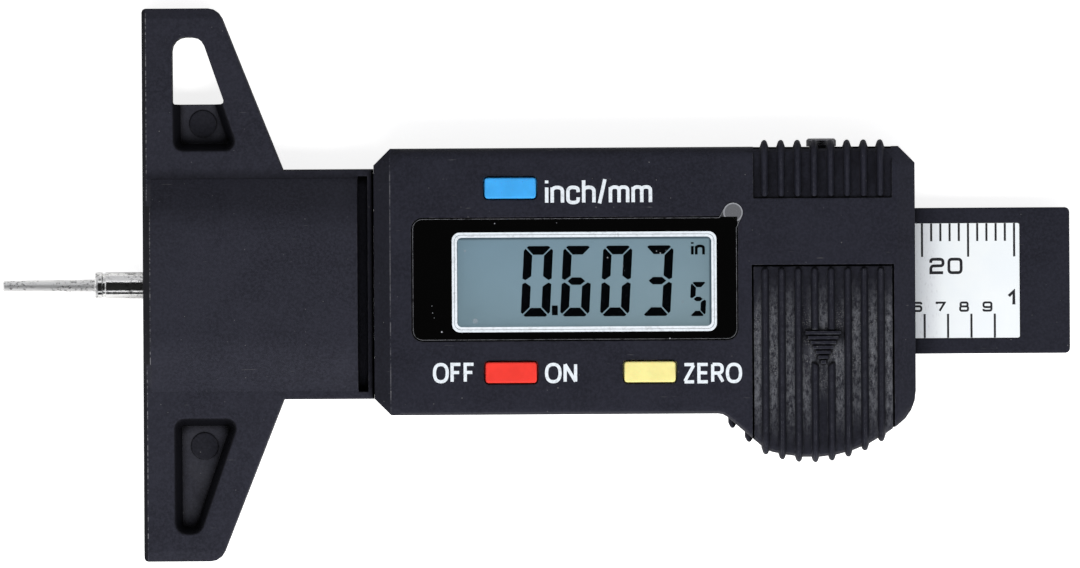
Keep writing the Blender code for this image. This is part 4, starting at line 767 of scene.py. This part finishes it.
def printed_ink(name, colour, roughness=0.45, gloss=0.5):
    """Screen-printed ink with slightly uneven cover."""
    s = Shader(name)
    cover = s.limits(s.noise(2600, 4, 0.7), 0.30, 0.55)
    base = s.mix(cover, shaded(colour, INK_THIN), colour)
    normal = s.bump(s.noise(5200, 2), 0.08, PRINT_GRAIN * MM)
    return s.finish(s.principled(Base_Color=base, Roughness=roughness, Normal=normal,
                                 Specular_IOR_Level=gloss))


def scale_film(name):
    """White scale film with a band of grey specks where the housing's edge rubs it."""
    s = Shader(name)
    base = s.mix(s.limits(s.noise(240, 3, 0.6), 0.3, 0.8), *LABEL_WHITES)
    rub_x = FACE_X + LABEL_RUB_X * MM
    near = s.within("X", rub_x, rub_x + LABEL_RUB_WIDTH * MM, LABEL_RUB_FADE * MM)
    broken = s.noise(1.0, 4, 0.75, s.stretched((5200, 1500, 900)))
    speckle = s.product(near, s.limits(broken, 0.55, 0.66), 0.28)
    base = s.mix(s.product(near, 0.12), base, LABEL_RUBBED)
    base = s.mix(speckle, base, LABEL_SPECK)
    normal = s.bump(s.noise(3200, 2), 0.06, PRINT_GRAIN * MM)
    return s.finish(s.principled(Base_Color=base, Roughness=0.38, Normal=normal))


def glass_epoxy(name):
    """Green board with its woven glass showing faintly."""
    s = Shader(name)
    wave = s.node("ShaderNodeTexWave", {"Vector": s.place, "Scale": 700,
                                        "Distortion": 1.5}).outputs["Fac"]
    base = s.mix(wave, *BOARD_GREENS)
    normal = s.bump(wave, 0.12, GRAIN_HEIGHT * MM, s.rounded_edges(METAL_EDGE * MM))
    return s.finish(s.principled(Base_Color=base, Roughness=0.38, Normal=normal,
                                 Coat_Weight=0.3))


def soft_mould(name, colour, roughness, scale):
    """Unpolished rubber, resin or white plastic with a mottled skin."""
    s = Shader(name)
    base = s.mix(s.limits(s.noise(scale, 4, 0.6), 0.3, 0.75), shaded(colour, 0.72), colour)
    rough = s.limits(s.noise(scale * 3, 3), 0.3, 0.7, roughness * 0.85, roughness * 1.12)
    rounded = s.rounded_edges(SOFT_EDGE * MM)
    normal = s.bump(s.noise(scale * 6, 3), 0.2, GRAIN_HEIGHT * MM, rounded)
    return s.finish(s.principled(Base_Color=base, Roughness=rough, Normal=normal))


def smoothing():
    """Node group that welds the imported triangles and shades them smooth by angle."""
    tree = bpy.data.node_groups.new("smooth_by_angle", "GeometryNodeTree")
    for way in ("INPUT", "OUTPUT"):
        tree.interface.new_socket("Geometry", in_out=way, socket_type="NodeSocketGeometry")
    n = Nodes(tree)
    packed = n.node("NodeGroupInput").outputs[0]
    bare = n.node("GeometryNodeRemoveAttribute", {"Geometry": packed, "Name": "custom_normal"})
    weld = n.node("GeometryNodeMergeByDistance", {
        "Geometry": bare.outputs["Geometry"], "Distance": MERGE_DISTANCE * MM})
    faces = n.node("GeometryNodeSetShadeSmooth", {"Geometry": weld.outputs["Geometry"]})
    angle = n.node("GeometryNodeInputMeshEdgeAngle").outputs["Unsigned Angle"]
    gentle = n.math("LESS_THAN", angle, math.radians(SMOOTH_ANGLE))
    edges = n.node("GeometryNodeSetShadeSmooth", {
        "Geometry": faces.outputs["Geometry"], "Shade Smooth": gentle}, domain="EDGE")
    n.node("NodeGroupOutput", {0: edges.outputs["Geometry"]})
    return tree


def dress(group, chosen):
    """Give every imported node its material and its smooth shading."""
    for name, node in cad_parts.items():
        node.data.materials.clear()
        node.data.materials.append(chosen[name])
        node.modifiers.new("smooth", "NODES").node_group = group
        weighted = node.modifiers.new("weighted", "WEIGHTED_NORMAL")
        weighted.keep_sharp = True


def flat_piece(name, shapes, surface, material, body):
    """Print on a surface: thin closed solids over outlines in millimetres, in one piece.

    A shape is an outline, or a pair of outlines where it is a ring.
    """
    mesh = bpy.data.meshes.new(name)
    work = bmesh.new()
    base = surface + PRINT_GAP * MM
    for order, shape in enumerate(shapes):
        thick = PRINT_THICK * MM * (1 + PRINT_STEP * (order % PRINT_HEIGHTS))
        if len(shape) == 2:
            ring(work, shape[0], shape[1], base, thick)
        else:
            prism(work, shape, base, thick)
    bmesh.ops.recalc_face_normals(work, faces=work.faces)
    work.to_mesh(mesh)
    work.free()
    mesh.materials.append(material)
    piece = bpy.data.objects.new(name, mesh)
    bpy.context.scene.collection.objects.link(piece)
    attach(piece, body)
    return piece


def prism(work, outline, base, thick):
    loops = [[work.verts.new(spot(x, y, base + rise)) for x, y in outline]
             for rise in (0, thick)]
    for index in range(len(outline)):
        after = (index + 1) % len(outline)
        work.faces.new((loops[0][index], loops[0][after], loops[1][after], loops[1][index]))
    work.faces.new(list(reversed(loops[0])))
    work.faces.new(loops[1])


def ring(work, outer, inner, base, thick):
    rows = [[work.verts.new(spot(x, y, base + rise)) for x, y in outline]
            for outline, rise in ((outer, 0), (outer, thick), (inner, thick), (inner, 0))]
    for row, following in zip(rows, rows[1:] + rows[:1]):
        for index in range(len(outer)):
            after = (index + 1) % len(outer)
            work.faces.new((row[index], row[after], following[after], following[index]))


def rounded_box(left, low, right, high, radius):
    """Outline of a rectangle with round corners, counter-clockwise."""
    centres = ((right - radius, high - radius, 0), (left + radius, high - radius, 90),
               (left + radius, low + radius, 180), (right - radius, low + radius, 270))
    points = []
    for x, y, start in centres:
        for step in range(CORNER_STEPS + 1):
            angle = math.radians(start + 90 * step / CORNER_STEPS)
            points.append((x + radius * math.cos(angle), y + radius * math.sin(angle)))
    return points


def box_outline(left, low, right, high):
    return [(left, low), (right, low), (right, high), (left, high)]


def segment(letter, width, height, stroke):
    """Outline of one bar of a seven-segment digit, upright, from its lower left corner.

    The bars meet in gaps and chamfers that are shares of the stroke.
    """
    gap, chamfer = stroke * 0.10, stroke * 0.42
    middle = height / 2
    half = stroke / 2
    top = [(chamfer + gap, height), (width - chamfer - gap, height),
           (width - chamfer / 2 - gap, height - chamfer / 2 + gap * 0.4),
           (width - stroke - gap, height - stroke), (stroke + gap, height - stroke),
           (chamfer / 2 + gap, height - chamfer / 2 + gap * 0.4)]
    upper_left = [(0, height - chamfer - gap), (chamfer / 2, height - chamfer / 2 - gap),
                  (stroke, height - stroke - gap), (stroke, middle + half + gap),
                  (half * 0.7, middle + gap * 1.4), (0, middle + gap * 3.2)]
    centre = [(half + gap * 1.6, middle), (stroke + gap * 1.6, middle - half * 0.85),
              (width - stroke - gap * 1.6, middle - half * 0.85),
              (width - half - gap * 1.6, middle),
              (width - stroke - gap * 1.6, middle + half * 0.85),
              (stroke + gap * 1.6, middle + half * 0.85)]
    right = [(width - x, y) for x, y in upper_left]
    return {"a": top, "f": upper_left, "b": right, "g": centre,
            "d": [(x, height - y) for x, y in top],
            "e": [(x, height - y) for x, y in upper_left],
            "c": [(x, height - y) for x, y in right]}[letter]


def digit(value, left, low, width, height, stroke):
    """The bars of a digit, leaning to the right as the display's digits do."""
    lean = math.tan(math.radians(DIGIT_SLANT))
    return [[(left + x + y * lean, low + y) for x, y in segment(letter, width, height, stroke)]
            for letter in SEGMENTS[value]]


def softened(path):
    """Points of a pen path, with its marked corners as curves, and whether it is closed."""
    closed = path[0] == path[-1]
    corners = path[:-1] if closed else path
    points = []
    for index, corner in enumerate(corners):
        here = Vector(corner[:2])
        if len(corner) == 2:
            points.append(here)
            continue
        before = Vector(corners[index - 1][:2])
        after = Vector(corners[(index + 1) % len(corners)][:2])
        start = here + (before - here).normalized() * min(corner[2], (before - here).length / 2)
        end = here + (after - here).normalized() * min(corner[2], (after - here).length / 2)
        for step in range(CORNER_STEPS + 1):
            t = step / CORNER_STEPS
            points.append(start * (1 - t) ** 2 + here * 2 * t * (1 - t) + end * t ** 2)
    kept = [p for n, p in enumerate(points)
            if n == 0 or (p - points[n - 1]).length > SAME_POINT]
    if closed and (kept[0] - kept[-1]).length <= SAME_POINT:
        kept.pop()
    return kept, closed


def pen_line(path, width, closed):
    """Outline of a pen line; a closed path gives its outer and its inner outline."""
    sides = ([], [])
    for index, here in enumerate(path):
        after = path[(index + 1) % len(path)]
        into = (here - path[index - 1]).normalized()
        out = (after - here).normalized()
        if not closed and index == 0:
            into = out
        if not closed and index == len(path) - 1:
            out = into
        mean = (into + out).normalized()
        across = Vector((-mean.y, mean.x)) * width / 2 / max(mean.dot(out), MITRE_LIMIT)
        sides[0].append(tuple(here + across))
        sides[1].append(tuple(here - across))
    return sides if closed else sides[0] + sides[1][::-1]


def number(text, right, low, size):
    """Pen lines of a number in the scale's wide square figures, up to its right edge."""
    width, height, pen = size
    left = right - len(text) * width - (len(text) - 1) * FIGURE_SPACE
    shapes = []
    for place, figure in enumerate(text):
        start = left + place * (width + FIGURE_SPACE)
        for path in NUMBERS[figure]:
            points, closed = softened(path)
            drawn = [Vector((start + pen / 2 + p.x * (width - pen),
                             low + pen / 2 + p.y * (height - pen))) for p in points]
            shapes.append(pen_line(drawn, pen, closed))
    return shapes


def written(text, left, low, right, high, pen):
    """Pen lines of a word, fitted to a box."""
    paths, cursor = [], 0.0
    for letter in text:
        width, strokes = LETTERS[letter]
        for stroke in strokes:
            points, closed = softened(stroke)
            paths.append(([p + Vector((cursor, 0)) for p in points], closed))
        cursor += width + WORD_GAP
    xs = [p.x for points, _ in paths for p in points]
    ys = [p.y for points, _ in paths for p in points]
    across = (right - left - pen) / (max(xs) - min(xs))
    up = (high - low - pen) / (max(ys) - min(ys))
    shapes = []
    for points, closed in paths:
        drawn = [Vector((left + pen / 2 + (p.x - min(xs)) * across,
                         low + pen / 2 + (p.y - min(ys)) * up)) for p in points]
        shapes.append(pen_line(drawn, pen, closed))
    return shapes


def display_print(ink, crystal):
    """White frame on the window, and the digits and unit on the display glass."""
    left, low, right, high = FRAME_OUTER
    rings = []
    for band in FRAME_BANDS:
        outlines = []
        for share in band:
            inset = FRAME_LINE * share
            outlines.append(rounded_box(left + inset, low + inset, right - inset, high - inset,
                                        FRAME_RADIUS - inset * FRAME_RADIUS_LOSS))
        rings.append(outlines)
    printed_frame = flat_piece("window_frame_print", rings, top_of("display_window"), ink,
                               "gauge_body")
    printed_frame.visible_shadow = False

    bars = []
    for value, x in DIGITS:
        bars += digit(value, x, DIGIT_LOW, DIGIT_WIDTH, DIGIT_HEIGHT, DIGIT_STROKE)
    bars.append(box_outline(*POINT_BOX))
    bars += digit(*SMALL_DIGIT)
    bars += written("in", *UNIT_BOX, UNIT_PEN)
    flat_piece("display_digits", bars, top_of("display_glass"), crystal, "gauge_body")


def key_words(ink):
    for name, text, left, low, right, high, pen in KEY_WORDS:
        surface = front_of("front_housing", (left + right) / 2, (low + high) / 2)
        flat_piece(f"print_{name}", written(text, left, low, right, high, pen), surface, ink,
                   "gauge_body")


def scale_marks(ink):
    """Millimetre and inch marks with their numbers, over the whole range of the bar."""
    low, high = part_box("scale_label")
    top, bottom = high.y / MM - SCALE_INSET, low.y / MM + SCALE_INSET
    tenth = INCH / TENTHS
    half = TICK_WIDTH / 2
    marks = []
    for mark in range(SCALE_RANGE + 1):
        x = SCALE_ZERO + mark
        reach = TICK_SHORT if mark % LONG_EVERY else TICK_LONG
        marks.append(box_outline(x - half, top - reach, x + half, top))
    for mark in range(TENTHS):
        x = SCALE_ZERO + mark * tenth
        marks.append(box_outline(x - half, bottom, x + half, bottom + INCH_TICK))
    flat_piece("scale_ticks", marks, high.z, ink, "bar")

    numbers = []
    for mark in MM_NUMBERS:
        right = SCALE_ZERO + mark - MM_FIGURE_GAP
        numbers += number(str(mark), right, MM_FIGURE_LOW, MM_FIGURE)
    for mark in range(1, TENTHS):
        right = SCALE_ZERO + mark * tenth - TENTH_FIGURE_GAP
        numbers += number(str(mark), right, TENTH_FIGURE_LOW, TENTH_FIGURE)
    right = SCALE_ZERO + INCH - INCH_FIGURE_GAP
    numbers += number("1", right, INCH_FIGURE_LOW, INCH_FIGURE)
    flat_piece("scale_numbers", numbers, high.z, ink, "bar")


def studio_floor():
    """Pale matt floor that keeps the object's shadow, with a glow for the camera."""
    s = Shader("studio_floor")
    shade = s.limits(s.noise(1.5, 2), 0.3, 0.7)
    base = s.mix(shade, grey(0.88), grey(0.90))
    matt = s.principled(Base_Color=base, Roughness=0.8, Specular_IOR_Level=0.1)
    ray = s.node("ShaderNodeLightPath").outputs
    seen = s.math("MAXIMUM", ray["Is Camera Ray"], ray["Is Transmission Ray"])
    seen = s.math("MAXIMUM", seen, s.product(ray["Is Glossy Ray"], FLOOR_MIRRORED))
    glow = s.node("ShaderNodeEmission", {"Color": grey(1.0),
                                         "Strength": s.product(seen, FLOOR_GLOW)})
    both = s.node("ShaderNodeAddShader", {0: matt, 1: glow.outputs[0]}).outputs[0]
    mesh = bpy.data.meshes.new("floor")
    reach, level = FLOOR_REACH, CAD_BOX[0].z - FLOOR_GAP * MM
    mesh.from_pydata([(-reach, -reach, level), (reach, -reach, level), (reach, reach, level),
                      (-reach, reach, level)], [], [(0, 1, 2, 3)])
    mesh.materials.append(s.finish(both))
    floor = bpy.data.objects.new("floor", mesh)
    bpy.context.scene.collection.objects.link(floor)


def studio_world():
    """The dome as light, the second dome in reflections, and white behind everything."""
    world = bpy.data.worlds.new("studio")
    bpy.context.scene.world = world
    world.use_nodes = True
    n = Nodes(world.node_tree)
    ray = n.node("ShaderNodeLightPath").outputs
    level = n.node("ShaderNodeMix", {"Factor": ray["Is Glossy Ray"], "A": dome(n, DOME),
                                     "B": dome(n, DOME_SHOWN)}).outputs[0]
    backdrop = n.math("MAXIMUM", level, ray["Is Camera Ray"])
    sky = n.node("ShaderNodeBackground", {"Color": grey(0.97, 0.03), "Strength": backdrop})
    n.node("ShaderNodeOutputWorld", {"Surface": sky.outputs[0]})


def dome(n, ramps):
    """Brightness of the surroundings in each direction, as the product of the ramps."""
    place = n.node("ShaderNodeTexCoord").outputs["Generated"]
    return n.product(*(n.limits(n.vectors("DOT_PRODUCT", place, direction), *ramp)
                       for direction, *ramp in ramps))


def studio_lamp():
    """One soft lamp, which polished things don't mirror."""
    light = bpy.data.lights.new("key", "AREA")
    light.energy = LAMP_WATTS
    light.size = LAMP_SIZE
    light.color = LAMP_COLOUR
    lamp = bpy.data.objects.new("key", light)
    bpy.context.scene.collection.objects.link(lamp)
    lamp.location = LAMP_PLACE
    lamp.rotation_euler = (-lamp.location).to_track_quat("-Z", "Y").to_euler()
    lamp.visible_glossy = False


def camera():
    data = bpy.data.cameras.new("camera")
    data.lens = LENS
    data.sensor_width = SENSOR
    data.clip_start = SEES_FROM
    data.clip_end = SEES_TO
    made = bpy.data.objects.new("camera", data)
    bpy.context.scene.collection.objects.link(made)
    distance = IMAGE_WIDTH / PIXELS_PER_MM * MM * LENS / SENSOR
    made.location = spot(*VIEW_MIDDLE, top_of("display_window") + distance)
    made.rotation_euler = (0, 0, math.radians(-ROLL))
    bpy.context.scene.camera = made


def finishes():
    """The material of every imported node."""
    shell = moulded_plastic("shell_plastic", BLACK, RUBBED_AND_HIGHLIGHT, 0.60)
    housing = moulded_plastic("housing_plastic", HOUSING_BLACK, RUBBED_AND_HIGHLIGHT, 0.60,
                              marks=housing_marks)
    base = moulded_plastic("base_plastic", BLACK, RUBBED_AND_HIGHLIGHT, 0.60, marks=base_marks)
    cover = moulded_plastic("cover_plastic", COVER_BLACK, CHALK, 0.58, grain=0.35, wear_and_highlight=0.60,
                            chalk=0.95)
    bar = moulded_plastic("bar_plastic", BAR_BLACK, BAR_RUBBED_AND_HIGHLIGHT, 0.56, grain=0.18, wear_and_highlight=0.35)
    left, low, right, high = FRAME_OUTER
    half = FRAME_LINE / 2
    steel = polished_steel("probe_steel", STEEL)
    screw = plain_metal("screw_steel", SCREW, 0.24)
    contact = plain_metal("contact_metal", CONTACT, 0.28)
    chosen = {
        "battery_cover": cover,
        "front_housing": housing,
        "rear_cover": shell,
        "t_base": base,
        "slide_bar": bar,
        "depth_probe": steel,
        "stop_pin": steel,
        "gib_screw": screw,
        "gib_strip": plain_metal("gib_brass", BRASS, 0.26),
        "button_cell": plain_metal("cell_steel", CELL, 0.20),
        "cell_side_contact": contact,
        "cell_spring": contact,
        "display_window": window_lens("window", spot(left + half, low + half, 0),
                                      spot(right - half, high - half, 0)),
        "window_film": protective_film("film", *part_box("display_window")),
        "display_glass": liquid_crystal("display", *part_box("display_glass")),
        "display_holder": soft_mould("holder", HOLDER_WHITE, 0.5, 300),
        "contact_rubber": soft_mould("contact_rubber", RUBBER_GREY, 0.7, 500),
        "circuit_board": glass_epoxy("board"),
        "chip_cover": soft_mould("epoxy", EPOXY_BLACK, 0.3, 400),
        "stator_strip": plain_metal("strip", COPPER, 0.35),
        "scale_label": scale_film("label"),
        "mode_button": key_plastic("button_blue", BLUE),
        "power_button": key_plastic("button_red", RED),
        "zero_button": key_plastic("button_yellow", YELLOW),
    }
    for corner in (1, 2, 3, 4):
        chosen[f"housing_screw_{corner}"] = screw
    for key in ("mode", "power", "zero"):
        chosen[f"{key}_dome"] = contact
    return chosen


def main():
    bpy.context.scene.view_settings.view_transform = "Standard"
    dress(smoothing(), finishes())
    white = printed_ink("white_print", WHITE_INK)
    display_print(white, printed_ink("liquid_crystal", DIGIT_BLACK, 0.35, gloss=0.05))
    key_words(white)
    scale_marks(printed_ink("black_print", BLACK_INK))
    studio_floor()
    studio_world()
    studio_lamp()
    camera()


main()
